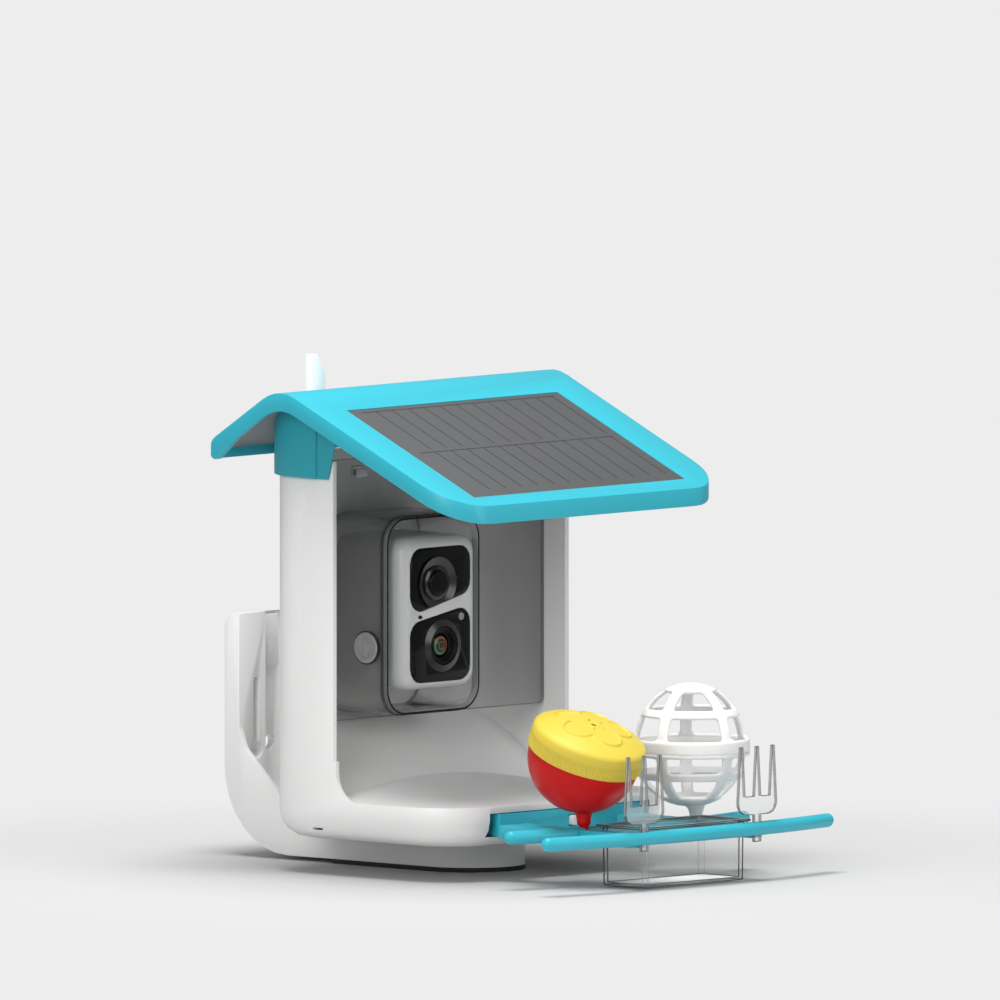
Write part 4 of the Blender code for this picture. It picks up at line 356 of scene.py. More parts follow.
# %% [markdown]
# The solar panel is a dark sheet of cells under a matt film. Two combs of fine lines gather its
# current: each has one line across the panel and twelve fingers that run down the slope from it. The
# lines are worked out from two distances, across the roof and down the slope. Ping-pong gives the
# distance from the nearest line, modulo the place within a comb, and the four limits end the pattern.

# %% Solar cells
SOLAR_SLOPE = math.radians(23.67)
COMB_TOP = 4.2 * MM
COMB_PITCH = 48.0 * MM
COMB_LENGTH = 44.6 * MM
COMB_LEFT = -75.0 * MM
COMB_RIGHT = 76.5 * MM
FINGER_START = -63.3 * MM
FINGER_PITCH = 12.56 * MM
LINE_HALF_WIDTH = 0.42 * MM
CELL_GRAIN_MM = 12
CELL_TONES = ("#525354", "#575859")
LINE_TONE = "#2F3032"


def panel_distances(tree, place):
    """Distance across the roof, and distance down the slope from the upper comb's first line."""
    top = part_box("solar_panel")[1]
    down = Vector((0, -math.cos(SOLAR_SLOPE), -math.sin(SOLAR_SLOPE)))
    start = down.dot(Vector((0, top[1], top[2]))) + COMB_TOP
    across = add(tree, "ShaderNodeSeparateXYZ", links={"Vector": place}).outputs["X"]
    slope = add(tree, "ShaderNodeVectorMath", {"operation": "DOT_PRODUCT", 1: down}, {0: place})
    run = add(tree, "ShaderNodeMath", {"operation": "SUBTRACT", 1: start}, {0: slope.outputs["Value"]})
    return across, run.outputs[0]


def comb_lines(tree, across, run):
    """One where a comb's cross line or one of its fingers lies, and zero elsewhere."""
    bus_gap = add(tree, "ShaderNodeMath", {"operation": "PINGPONG", 1: COMB_PITCH / 2}, {0: run})
    bus = add(tree, "ShaderNodeMath", {"operation": "LESS_THAN", 1: LINE_HALF_WIDTH},
              {0: bus_gap.outputs[0]})
    along = add(tree, "ShaderNodeMath", {"operation": "FLOORED_MODULO", 1: COMB_PITCH}, {0: run})
    in_comb = add(tree, "ShaderNodeMath", {"operation": "LESS_THAN", 1: COMB_LENGTH},
                  {0: along.outputs[0]})
    shifted = add(tree, "ShaderNodeMath", {"operation": "SUBTRACT", 1: FINGER_START}, {0: across})
    finger_gap = add(tree, "ShaderNodeMath", {"operation": "PINGPONG", 1: FINGER_PITCH / 2},
                     {0: shifted.outputs[0]})
    finger = add(tree, "ShaderNodeMath", {"operation": "LESS_THAN", 1: LINE_HALF_WIDTH},
                 {0: finger_gap.outputs[0]})
    fingers = add(tree, "ShaderNodeMath", {"operation": "MULTIPLY"},
                  {0: finger.outputs[0], 1: in_comb.outputs[0]})
    lines = add(tree, "ShaderNodeMath", {"operation": "MAXIMUM"},
                {0: bus.outputs[0], 1: fingers.outputs[0]})
    return lines.outputs[0]


def inside_panel(tree, lines, across, run):
    """The lines without what would lie past the pattern's left, right, lower and upper ends."""
    comb_end = 2 * COMB_PITCH - COMB_TOP / 2
    limits = (("GREATER_THAN", COMB_LEFT, across), ("LESS_THAN", COMB_RIGHT, across),
              ("LESS_THAN", comb_end, run), ("GREATER_THAN", -LINE_HALF_WIDTH, run))
    for operation, distance, measured in limits:
        limit = add(tree, "ShaderNodeMath", {"operation": operation, 1: distance}, {0: measured})
        lines = add(tree, "ShaderNodeMath", {"operation": "MULTIPLY"},
                    {0: lines, 1: limit.outputs[0]}).outputs[0]
    return lines


def solar_sheet():
    material, tree, shader = new_material("Solar cells under matt film, laminated",
                                          {"IOR": 1.5, "Roughness": 0.5, "Specular IOR Level": 0.3})
    place = add(tree, "ShaderNodeTexCoord").outputs["Object"]
    across, run = panel_distances(tree, place)
    lines = inside_panel(tree, comb_lines(tree, across, run), across, run)
    cloudy = add(tree, "ShaderNodeTexNoise", {"Scale": cells_per_metre(CELL_GRAIN_MM), "Detail": 3},
                 {"Vector": place})
    cell = add(tree, "ShaderNodeMix",
               {"data_type": "RGBA", 6: linear(CELL_TONES[0]), 7: linear(CELL_TONES[1])},
               {0: cloudy.outputs["Fac"]})
    tone = add(tree, "ShaderNodeMix", {"data_type": "RGBA", 7: linear(LINE_TONE)},
               {0: lines, 6: cell.outputs[2]})
    tree.links.new(tone.outputs[2], shader.inputs["Base Color"])
    return material


solar_film = solar_sheet()
print("solar sheet ready")

# %% [markdown]
# Real moulded parts have no razor edges. Each rigid part is copied from its solid, its loose triangles
# are merged, its sharp edges get a small round, and flat and round faces are shaded as they are.
# The copy takes the place of the solid in the picture and rides on the same body. Where a part has
# an edge finish, the faces that the rounding made get it.

# %% Soft-edged copies
WELD = 0.01 * MM
FLAT_DEGREES = 0.5
BODY_OF = {node: body for body, nodes in frame["record"]["behaviour"]["bodies"].items() for node in nodes}


def publish(name, work, materials, body, replaced=(), sharp_degrees=35):
    mesh = bpy.data.meshes.new(name)
    work.to_mesh(mesh)
    work.free()
    piece = bpy.data.objects.new(name, mesh)
    bpy.context.scene.collection.objects.link(piece)
    for material in materials:
        mesh.materials.append(material)
    mesh.shade_smooth()
    mesh.set_sharp_from_angle(angle=math.radians(sharp_degrees))
    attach(piece, body)
    if replaced:
        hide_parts(*replaced)
    return piece


def round_edges(work, edge_mm, segments, sharp_degrees):
    limit = math.radians(sharp_degrees)
    sharp = [e for e in work.edges if len(e.link_faces) == 2 and e.calc_face_angle() > limit]
    return bmesh.ops.bevel(work, geom=sharp, offset=edge_mm * MM, offset_type="OFFSET", segments=segments,
                           profile=0.5, affect="EDGES", clamp_overlap=True, material=-1)["faces"]


def moulded_copy(node, materials, edge_mm, segments=2, sharp_degrees=32, choose=None):
    """Copy a solid with soft edges. Its last material is for the edges, unless choose picks them all."""
    work = bmesh.new()
    work.from_mesh(frame["nodes"][node].data)
    bmesh.ops.remove_doubles(work, verts=work.verts, dist=WELD)
    bmesh.ops.dissolve_limit(work, angle_limit=math.radians(FLAT_DEGREES), verts=work.verts,
                             edges=work.edges)
    for face in work.faces:
        face.material_index = 0
    if edge_mm:
        for face in round_edges(work, edge_mm, segments, sharp_degrees):
            face.material_index = len(materials) - 1
    if choose:
        work.normal_update()
        for face in work.faces:
            face.material_index = choose(face)
    return publish(node + "_moulded", work, materials, BODY_OF[node], (node,), sharp_degrees)


FINISHES = {
    "base_pad": (black_rubber, 0.4), "wall_bracket": (white_abs, 0.6), "foot_screw": (zinc_steel, 0.2),
    "housing": (white_abs, 0.5), "left_hinge_pin": (zinc_steel, 0.2), "right_hinge_pin": (zinc_steel, 0.2),
    "camera_tunnel": (tunnel_clear, 0.3), "camera_shell": (camera_white, 0.3),
    "upper_window": (black_acrylic, 0.2), "lower_window": (black_acrylic, 0.2),
    "light_sensor": (sensor_grey, 0.1), "circuit_board": (solder_mask, 0.0),
    "battery_pack": (cell_wrap, 0.0), "camera_back_cover": (camera_white, 0.4),
    "power_button": (black_rubber, 0.3), "charge_port_cover": (black_rubber, 0.3),
    "antenna": (bright_white, 0.4), "antenna_pin": (zinc_steel, 0.0), "roof_shell": (teal_abs, 1.2),
    "solar_panel": (solar_film, 0.2), "roof_liner": (liner_grey, 0.3), "left_cheek": (teal_painted_shade, 0.4),
    "right_cheek": (teal_painted_shade, 0.4), "perch_carrier": (teal_abs, 0.5), "back_perch_bar": (teal_abs, 0.3),
    "front_perch_bar": (teal_abs, 0.3), "perch_release_button": (white_abs, 0.3),
}
for node, (finish, edge_mm) in FINISHES.items():
    moulded_copy(node, [finish], edge_mm)
moulded_copy("seed_ramp", [ramp_white], 0.5, sharp_degrees=15)
moulded_copy("front_panel", [panel_clear, panel_edge_painted_shade], 0.3)
print("soft-edged copies:", len(FINISHES) + 2)

# %% [markdown]
# On the cup, the forks and the bezel, the finish goes by the way a face points. The cup's rounded
# rims are dark lines of painted shade, its floor is bright with a painted highlight, and its upright
# corners get painted shade where they are seen from the side. The forks have pale faces, grey sides of
# painted shade and dark rounds of painted shade. The bezel is black in front, mid grey round its outer
# side and pale grey on its inner faces.

# %% Faces of the clear parts
CLEAR, EDGE, OTHER, CORNER = 0, 1, 2, 3
FRONT, INNER, OUTER = 0, 1, 2
ROUND_LEAST = 0.3
CORNER_LEAST = 0.15
FLAT_LEAST = 0.9
CUP_FLOOR_MM = 5


def is_round(face, least=ROUND_LEAST):
    """True for a narrow face that points between two of the three main ways."""
    turned = sorted(abs(part) for part in face.normal)
    return turned[1] > least


def cup_face(face):
    if is_round(face, CORNER_LEAST):
        return EDGE if abs(face.normal.z) > ROUND_LEAST else CORNER
    height_mm = face.calc_center_median().z / MM
    # A low face that points up is the cup's floor, which gets the painted highlight.
    return OTHER if face.normal.z > FLAT_LEAST and height_mm < CUP_FLOOR_MM else CLEAR


def fork_face(face):
    if is_round(face):
        return EDGE
    # The tines' sides get the grey of painted shade.
    return CLEAR if abs(face.normal.y) > FLAT_LEAST else OTHER


def bezel_face(face):
    inward = Vector((0, 0, bezel_middle.z)) - face.calc_center_median()
    inward.y = 0
    way = face.normal.dot(inward.normalized())
    if abs(way) < 0.5:
        return FRONT
    return INNER if way > 0 else OUTER


bezel_middle = box_centre("window_bezel")
moulded_copy("window_bezel", [bezel_black, bezel_grey, bezel_side], 0.0, choose=bezel_face)
moulded_copy("jelly_cup", [cup_clear, cup_edge_painted_shade, cup_floor_painted_highlight, cup_corner_painted_shade], 0.5, choose=cup_face)
for fork in ("left_fork", "right_fork"):
    moulded_copy(fork, [fork_clear, fork_edge_painted_shade, fork_side_painted_shade], 0.4, choose=fork_face)
print("clear parts ready")

# %% [markdown]
# Round parts are drawn as half a cross-section and spun round their axis, as a turner or a
# mould maker would cut them. The spin is full, so it merges its own seam, and the points that lie on
# the axis are merged into one pole.

# %% Turned parts
POLE_WELD = 0.003 * MM


def arc(radius, start_degrees, end_degrees, steps, centre=(0, 0)):
    """Points (radius, height) of an arc. Zero degrees points up, ninety degrees points outwards."""
    points = []
    for step in range(steps + 1):
        angle = math.radians(start_degrees + (end_degrees - start_degrees) * step / steps)
        points.append((centre[0] + radius * math.sin(angle), centre[1] + radius * math.cos(angle)))
    return points


def spun(profile_mm, steps, closed=False):
    """Spin a profile of points (radius, height) in millimetres round the upright axis."""
    work = bmesh.new()
    places = [work.verts.new((max(radius, 0) * MM, 0, height * MM)) for radius, height in profile_mm]
    edges = [work.edges.new(pair) for pair in zip(places, places[1:])]
    if closed:
        edges.append(work.edges.new((places[-1], places[0])))
    bmesh.ops.spin(work, geom=places + edges, cent=(0, 0, 0), axis=(0, 0, 1), angle=2 * math.pi,
                   steps=steps, use_merge=True)
    bmesh.ops.remove_doubles(work, verts=work.verts, dist=POLE_WELD)
    bmesh.ops.recalc_face_normals(work, faces=work.faces)
    return work


def put(work, place, turn_x=0.0, turn_y=0.0):
    """Turn a shape about X, then about Y, and move it to its place."""
    turns = Matrix.Rotation(turn_y, 4, "Y") @ Matrix.Rotation(turn_x, 4, "X")
    bmesh.ops.transform(work, matrix=Matrix.Translation(place) @ turns, verts=work.verts)
    return work


print("an arc of 90 degrees in 2 steps:", [tuple(round(c, 2) for c in p) for p in arc(10, 0, 90, 2)])

# %% [markdown]
# The nectar bowl is half a ball of red ABS on a short stem, tilted towards the birds. The bowl and
# the stem are both turned. The stem widens into the bowl above and narrows to its peg below, which
# goes into a hole of the perch's bar.

# %% Nectar bowl and stem
bowl_centre = Vector(JOINTS["nectar_cap_turn"]["pos_m"])
bowl_axis = Vector(JOINTS["nectar_cap_turn"]["axis"])
bowl_tilt = math.atan2(-bowl_axis.y, bowl_axis.z)
bar_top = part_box("back_perch_bar")[1][2] / MM
foot = bar_top + 0.3
BOWL_RADIUS = 30.5
BOWL_WALL = 2.0
BOWL_STEPS = 28
PEG_RADIUS = 2.5
PEG_END = bar_top - 4.5


def make_bowl():
    profile = arc(BOWL_RADIUS, 90, 180, BOWL_STEPS) + arc(BOWL_RADIUS - BOWL_WALL, 180, 90, BOWL_STEPS)
    bowl = put(spun(profile, 96, closed=True), bowl_centre, bowl_tilt)
    publish("nectar_bowl_shell", bowl, [red_abs], "nectar_bowl", ("nectar_bowl",))
    top = bowl_centre.z / MM - BOWL_RADIUS + BOWL_WALL / 2
    profile = [(0, top), (5.0, top), (4.3, top - 2), (3.9, top - 4), (3.7, foot + 1.2), (2.9, foot + 0.2),
               (PEG_RADIUS, foot), (PEG_RADIUS, PEG_END), (0, PEG_END)]
    stem = put(spun(profile, 40), (bowl_centre.x, bowl_centre.y, 0))
    publish("nectar_bowl_stem", stem, [red_abs], "nectar_bowl")


make_bowl()
print("bowl tilt in degrees:", round(math.degrees(bowl_tilt), 1))

# %% [markdown]
# The bowl's yellow cap has fine grip ribs round the lower half of its skirt, and a raised outline of
# five petals round one small drinking hole. The cap is spun with four steps to a rib, then its
# points are moved: in and out along the ribs, and up along the petals' outline.

# %% Nectar cap
CAP_RADIUS = 31.8
CAP_SIDE = 13.0
CAP_CROWN = 6.5
CAP_WALL = 2.0
CAP_HOLE = 1.5
CAP_SHOULDER = 1.4
CROWN_STEPS = 90
SKIRT_STEPS = 12
CAP_RIBS = 132
STEPS_PER_RIB = 4
RIB_DEPTH = 0.45
RIB_TOP = 7.2
PETALS = 5
PETAL_MIDDLE = 13.0
PETAL_LENGTH = 9.0
PETAL_WIDTH = 8.4
PETAL_START = 0.4
PETAL_TURN = math.radians(-100.5)
HUB_RADIUS = CAP_HOLE + 1.4
HUB_SHARE = 0.4
LINE_WIDTH = 0.5
LINE_HEIGHT = 1.0


def crown_height(radius):
    """Height of the cap's low dome at a distance from its axis."""
    return CAP_SIDE + CAP_CROWN * (1 - (radius / CAP_RADIUS) ** 3)


def cap_profile():
    """Cross-section of the cap: its crown, the edge, the skirt down to its lip, and the inside."""
    shoulder = CAP_RADIUS - CAP_SHOULDER
    crown = [(CAP_HOLE + (shoulder - CAP_HOLE) * step / CROWN_STEPS) for step in range(CROWN_STEPS + 1)]
    outer = [(radius, crown_height(radius)) for radius in crown]
    outer += [(CAP_RADIUS - 0.6, CAP_SIDE - 0.2), (CAP_RADIUS - 0.12, CAP_SIDE - 1.0)]
    skirt = [(CAP_RADIUS, RIB_TOP + 1 - RIB_TOP * step / SKIRT_STEPS) for step in range(SKIRT_STEPS + 1)]
    inner = CAP_RADIUS - CAP_WALL
    inside = [(inner, 0.6), (inner, CAP_SIDE - CAP_WALL)]
    inside += [(r, crown_height(r) - CAP_WALL) for r in (inner * 0.8, inner * 0.6, inner * 0.4, CAP_HOLE)]
    return outer + skirt + [(CAP_RADIUS - 0.3, 0.35)] + inside


def petal_line(radius, angle):
    """How high the petals' outline stands at a place on the crown, from 0 to 1."""
    step = 2 * math.pi / PETALS
    turned = (angle - PETAL_TURN + step / 2) % step - step / 2
    along = (radius * math.cos(turned) - PETAL_MIDDLE) / PETAL_LENGTH
    across = radius * math.sin(turned) / PETAL_WIDTH
    gap = (math.hypot(along, across) - 1) * PETAL_WIDTH
    if radius < PETAL_MIDDLE * PETAL_START:
        gap = PETAL_WIDTH
    hub = abs(radius - HUB_RADIUS)
    return max(math.exp(-(gap / LINE_WIDTH) ** 2), HUB_SHARE * math.exp(-(hub / LINE_WIDTH) ** 2))


def emboss_cap(work):
    """Lift the crown's points along the petals' lines and press the skirt's points in between ribs."""
    for vertex in work.verts:
        radius = math.hypot(vertex.co.x, vertex.co.y) / MM
        height = vertex.co.z / MM
        angle = math.atan2(vertex.co.y, vertex.co.x)
        on_crown = abs(height - crown_height(radius)) < 0.3 and radius < CAP_RADIUS - 2
        on_skirt = radius > CAP_RADIUS - 0.05 and 0.7 < height < RIB_TOP
        if on_crown:
            vertex.co.z += LINE_HEIGHT * MM * petal_line(radius, angle)
        elif on_skirt:
            depth = RIB_DEPTH * (0.5 - 0.5 * math.cos(CAP_RIBS * angle))
            vertex.co.x *= (radius - depth) / radius
            vertex.co.y *= (radius - depth) / radius


def make_cap():
    cap = spun(cap_profile(), CAP_RIBS * STEPS_PER_RIB, closed=True)
    emboss_cap(cap)
    put(cap, bowl_centre, bowl_tilt)
    piece = publish("nectar_cap_ribbed", cap, [yellow_abs], "nectar_cap",
                    ("nectar_cap",), sharp_degrees=50)
    print("cap faces:", len(piece.data.polygons))


make_cap()

# %% [markdown]
# The suet cage is a ball of ribs and bands in two halves. Each half starts as a flat grid whose
# columns become ribs and windows and whose rows become bands. The window faces are deleted, each
# point is moved onto the ball, and the corner points of each window are drawn in a little. Solidify
# gives the lattice its wall, and one level of subdivision rounds every rib as a mould does. A stop is
# a band or a row of windows: where it starts and ends, how many rows of faces it has, and whether it
# is open. The short stops beside a window keep its edge crisp when the shape is subdivided.

# %% Suet cage
cage_centre = Vector(JOINTS["suet_lid_turn"]["pos_m"])
CAGE_RADIUS = 31.5
CAGE_RING_RADIUS = 32.2
CAGE_WALL = 2.2
CAGE_RIBS = 5
RIB_WIDTH = 6.6
RIB_PHASE = math.radians(-95.5)
RIB_CELLS = 4
WINDOW_CELLS = 20
SECTOR_CELLS = RIB_CELLS + WINDOW_CELLS
WIDEST_RIB = 0.42
CORNER_SHARE = 0.4


def cage_point(column, height, rise):
    """A place on the half ball: the column runs round it, and the ribs keep their width."""
    radius = CAGE_RADIUS * math.sqrt(max(1 - (height / rise) ** 2, 0))
    sector = 2 * math.pi / CAGE_RIBS
    half_rib = math.asin(min(RIB_WIDTH / 2 / max(radius, 0.01), math.sin(sector * WIDEST_RIB)))
    index = math.floor(column / SECTOR_CELLS)
    local = column - index * SECTOR_CELLS
    if local <= RIB_CELLS:
        angle = half_rib * (2 * local / RIB_CELLS - 1)
    else:
        angle = half_rib + (sector - 2 * half_rib) * (local - RIB_CELLS) / WINDOW_CELLS
    angle += RIB_PHASE + index * sector
    return radius, angle


def cage_levels(stops):
    """Heights of the grid's rows, and the row numbers between which its windows lie."""
    heights = [stops[0][0]]
    windows = []
    for low, high, rows, is_open in stops:
        if is_open:
            windows.append((len(heights) - 1, len(heights) - 1 + rows))
        heights += [low + (high - low) * (row + 1) / rows for row in range(rows)]
    return heights, windows


def corner_pull(column, row, windows):
    """Shift of a window's corner point, in cells, towards the middle of the window."""
    local = column % SECTOR_CELLS
    side = {RIB_CELLS: 1, 0: -1}.get(local, 0)
    for low, high in windows:
        if side and row in (low, high):
            return side * CORNER_SHARE, (1 if row == low else -1) * CORNER_SHARE
    return 0, 0


def window_faces(work, rows, windows):
    """The grid's faces that lie in a window, between two ribs and two bands."""
    columns = CAGE_RIBS * SECTOR_CELLS
    chosen = []
    for face in work.faces:
        middle = face.calc_center_median()
        column = int((middle.x + 1) / 2 * columns) % SECTOR_CELLS
        row = int((middle.y + 1) / 2 * rows)
        if column >= RIB_CELLS and any(low <= row < high for low, high in windows):
            chosen.append(face)
    return chosen


def wrap_grid(work, heights, windows, rise, ring_top, sign):
    """Move the flat grid's points onto the half ball, or onto the plain ring at its open end."""
    columns = CAGE_RIBS * SECTOR_CELLS
    rows = len(heights) - 1
    for vertex in work.verts:
        column = round((vertex.co.x + 1) / 2 * columns)
        row = round((vertex.co.y + 1) / 2 * rows)
        pull_column, pull_row = corner_pull(column, row, windows)
        near = heights[row + (1 if pull_row > 0 else -1)] if pull_row else heights[row]
        height = heights[row] + (near - heights[row]) * abs(pull_row)
        radius, angle = cage_point(column + pull_column, height, rise)
        if height < ring_top:
            radius = CAGE_RING_RADIUS
        vertex.co = (radius * math.cos(angle) * MM, radius * math.sin(angle) * MM, sign * height * MM)


def cage_shell(stops, rise, ring_top, sign):
    """The lattice of one half, without its wall. A sign of -1 makes the half that hangs down."""
    heights, windows = cage_levels(stops)
    rows = len(heights) - 1
    work = bmesh.new()
    bmesh.ops.create_grid(work, x_segments=CAGE_RIBS * SECTOR_CELLS, y_segments=rows, size=1)
    open_faces = window_faces(work, rows, windows)
    wrap_grid(work, heights, windows, rise, ring_top, sign)
    bmesh.ops.delete(work, geom=open_faces, context="FACES")
    bmesh.ops.remove_doubles(work, verts=work.verts, dist=2 * WELD)
    if sign > 0:
        work.normal_update()
    else:
        bmesh.ops.reverse_faces(work, faces=work.faces)
    return put(work, cage_centre)


def finish_cage(name, work, material, body, node):
    piece = publish(name, work, [material], body, (node,), sharp_degrees=180)
    wall = piece.modifiers.new("wall", "SOLIDIFY")
    wall.thickness = CAGE_WALL * MM
    wall.offset = -1
    soft = piece.modifiers.new("soft edges", "SUBSURF")
    soft.levels = 1
    soft.render_levels = 1


LID_RISE = 37.4
LID_RING = 7.3
LID_STOPS = ((0.15, 0.6, 1, False), (0.6, 7.0, 3, False), (7.0, 7.6, 1, False), (7.6, 19.5, 10, True),
             (19.5, 23.9, 4, False), (23.9, 33.4, 9, True), (33.4, 37.4, 7, False))
BASE_DROP = 30.0
BASE_RING = 2.2
BASE_STOPS = ((0.15, 0.5, 1, False), (0.5, 2.0, 1, False), (2.0, 2.4, 1, False), (2.4, 10.9, 8, True),
              (10.9, 15.1, 4, False), (15.1, 25.0, 9, True), (25.0, 30.0, 7, False))
lid = cage_shell(LID_STOPS, LID_RISE, LID_RING, 1)
finish_cage("suet_cage_lid_lattice", lid, cage_white, "suet_lid", "suet_cage_lid")
base = cage_shell(BASE_STOPS, BASE_DROP, BASE_RING, -1)
finish_cage("suet_cage_base_lattice", base, frosted, "suet_base", "suet_cage_base")
print("cage centre:", [round(c, 4) for c in cage_centre])

# %% [markdown]
# The cage stands on a short stem that widens into its floor, and a small knob closes the floor's
# middle where the mould was filled.

# %% Suet cage stem
def make_cage_stem():
    top = cage_centre.z / MM - BASE_DROP + 1.6
    profile = [(0, top), (5.4, top), (4.6, top - 1.6), (3.6, foot + 1.6), (3.2, foot), (PEG_RADIUS, foot),
               (PEG_RADIUS, PEG_END), (0, PEG_END)]
    stem = put(spun(profile, 40), (cage_centre.x, bowl_centre.y, 0))
    publish("suet_cage_stem", stem, [frosted], "suet_base")
    knob = [(0, 1.5), (2.6, 1.5), (2.8, 0.6), (2.2, -0.6), (1.2, -1.2), (0, -1.4)]
    low = Vector((cage_centre.x, cage_centre.y, cage_centre.z - BASE_DROP * MM))
    publish("suet_cage_knob", put(spun(knob, 32), low), [frosted], "suet_base")


make_cage_stem()
print("cage stem stands at", round(foot, 1), "mm")

# %% [markdown]
# A sloped ring lies round each round part of the camera's face. The sensor's ring is a dish that rises
# outwards, and the lens's is a cone that rises inwards, so light from the left catches the far side of
# one and the near side of the other. The two windows meet along a slanted seam, and each ring stops
# there, so one bisecting plane trims them both. The motion sensor has a domed cover in the middle of
# its ring. The lens sits deep in a stepped barrel, as real ones do, so that stray light doesn't reach
# it. A small dark slot near the seam is the microphone's opening.

# %% Camera face
face_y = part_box("upper_window")[0][1]
FACE_TURN = math.pi / 2
RING_FOOT = -0.25
RING_LOW = 0.06
RING_HIGH = 1.3
SEAM_PLACE = (0, 0, 142.9 * MM)
SEAM_NORMAL = Vector((-11.2, 0, 47.0)).normalized()
MIC_PLACE = Vector((-16.0, 21.9, 135.6)) * MM
MIC_RADIUS = 0.9 * MM
MIC_DEPTH = 0.5 * MM
MIC_STRETCH = 1.7


def on_face(work, node):
    """Turn a spun part to face the front and set it on the camera's face, where its node is."""
    middle = box_centre(node)
    return put(work, Vector((middle.x, face_y, middle.z)), FACE_TURN)


def sloped_ring(name, node, inner, outer, keep_above):
    """A thin ring between two points (radius, rise), trimmed at the seam of the two windows."""
    profile = [(inner[0], RING_FOOT), inner, outer, (outer[0], RING_FOOT)]
    ring = on_face(spun(profile, 96, closed=True), node)
    whole = ring.verts[:] + ring.edges[:] + ring.faces[:]
    bmesh.ops.bisect_plane(ring, geom=whole, dist=0.0001 * MM, plane_co=SEAM_PLACE, plane_no=SEAM_NORMAL,
                           clear_inner=keep_above, clear_outer=not keep_above)
    bmesh.ops.holes_fill(ring, edges=[e for e in ring.edges if e.is_boundary])
    publish(name, ring, [dish_black], "feeder", sharp_degrees=30)


def make_microphone():
    slot = bmesh.new()
    bmesh.ops.create_cone(slot, cap_ends=True, segments=24, radius1=MIC_RADIUS, radius2=MIC_RADIUS,
                          depth=MIC_DEPTH)
    bmesh.ops.scale(slot, vec=(MIC_STRETCH, 1, 1), verts=slot.verts)
    publish("microphone_slot", put(slot, MIC_PLACE, FACE_TURN), [bezel_black], "feeder")


def make_sensor():
    dome = [(radius, height + 0.25) for radius, height in arc(30, 0, 18.2, 16, (0, -28.6))]
    dome += [(9.45, 0), (9.45, -1.2), (0, -1.2)]
    publish("motion_sensor_dome", on_face(spun(dome, 80), "motion_sensor"), [sensor_dome],
            "feeder", ("motion_sensor",))
    pupil = [(0, 2.35)] + arc(1.0, 0, 90, 4, (6.3, 1.35)) + [(7.3, 0.2), (0, 0.2)]
    publish("motion_sensor_lens", on_face(spun(pupil, 64), "motion_sensor"), [black_acrylic],
            "feeder")


def make_lens():
    barrel = [(6.5, -12), (6.5, -1.9), (6.9, -1.5), (7.5, -1.4), (7.7, -0.7), (8.3, -0.6), (8.5, 0.3),
              (9.4, 0.5), (9.6, 1.0), (10.1, 1.1), (10.3, 0.9), (10.3, -12)]
    publish("lens_barrel_stepped", on_face(spun(barrel, 80, closed=True), "lens_barrel"), [bezel_black],
            "feeder", ("lens_barrel",), sharp_degrees=25)
    glass = arc(11.6, 0, 32.3, 14, (0, -12.1)) + [(6.2, -12), (0, -12)]
    publish("lens_glass_domed", on_face(spun(glass, 64), "lens_glass"), [lens_painted_reflections],
            "feeder", ("lens_glass",))


sloped_ring("motion_sensor_ring", "motion_sensor", (9.9, RING_LOW), (14.2, RING_HIGH), True)
sloped_ring("lens_ring", "lens_glass", (10.6, RING_HIGH), (14.2, RING_LOW), False)
make_microphone()
make_sensor()
make_lens()
print("camera face at y =", round(face_y, 4))

# %% [markdown]
# The knob that locks the camera in its tunnel is a turned disc with a raised rim and a moulded bar
# across it for the fingers. It turns on a shaft through the tunnel's wall. A thin dark ring round the
# disc draws the gap that parts it from its seat.

# %% Lock knob
KNOB_TURN = -math.pi / 2
KNOB_SEAT = 2.8 * MM
BAR_SEAT = 0.9 * MM
BAR_SIZE = Vector((1.6, 2.0, 11.0)) * MM


def make_knob():
    outer_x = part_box("camera_lock_knob")[0][0]
    middle = box_centre("camera_lock_knob")
    seat = (outer_x + KNOB_SEAT, middle.y, middle.z)
    disc = [(0, 2.4), (2.0, 2.4), (2.3, 1.3), (5.2, 1.3), (5.6, 1.6), (6.0, 2.6), (7.5, 2.8), (8.1, 2.6),
            (8.4, 2.0), (8.4, 0.0), (3.0, 0.0), (3.0, -7.9), (0, -7.9)]
    knob = put(spun(disc, 72), seat, turn_y=KNOB_TURN)
    publish("lock_knob_disc", knob, [knob_white], "lock_knob", ("camera_lock_knob",),
            sharp_degrees=30)
    profile = [(8.45, -0.1), (8.45, 1.7), (8.75, 1.9), (9.1, 1.7), (9.1, -0.1)]
    rim = put(spun(profile, 72, closed=True), seat, turn_y=KNOB_TURN)
    publish("lock_knob_rim", rim, [bezel_black], "lock_knob", sharp_degrees=30)
    bar = bmesh.new()
    bmesh.ops.create_cube(bar, size=1)
    bmesh.ops.scale(bar, vec=BAR_SIZE, verts=bar.verts)
    round_edges(bar, 0.6, segments=3, sharp_degrees=30)
    put(bar, (outer_x + BAR_SEAT, middle.y, middle.z))
    publish("lock_knob_bar", bar, [knob_white], "lock_knob")


make_knob()
print("lock knob ready")

# %% [markdown]
# Two small clips hold the clear panel to the house. Each is a moulded tab that comes through a notch
# in the panel, with a finger lip at its front. The tab and the lip are rounded blocks, each given by
# its size and its middle.

# %% Panel clips
CLIP_X = 56.0 * MM
CLIP_DROP = 7.4 * MM
CLIP_PROUD = 0.4 * MM
CLIP_TAB = ((6.4, 3.6, 3.2), (0.0, 0.0, 0.0))
CLIP_LIP = ((8.6, 1.3, 4.6), (0.0, -1.6, -0.4))


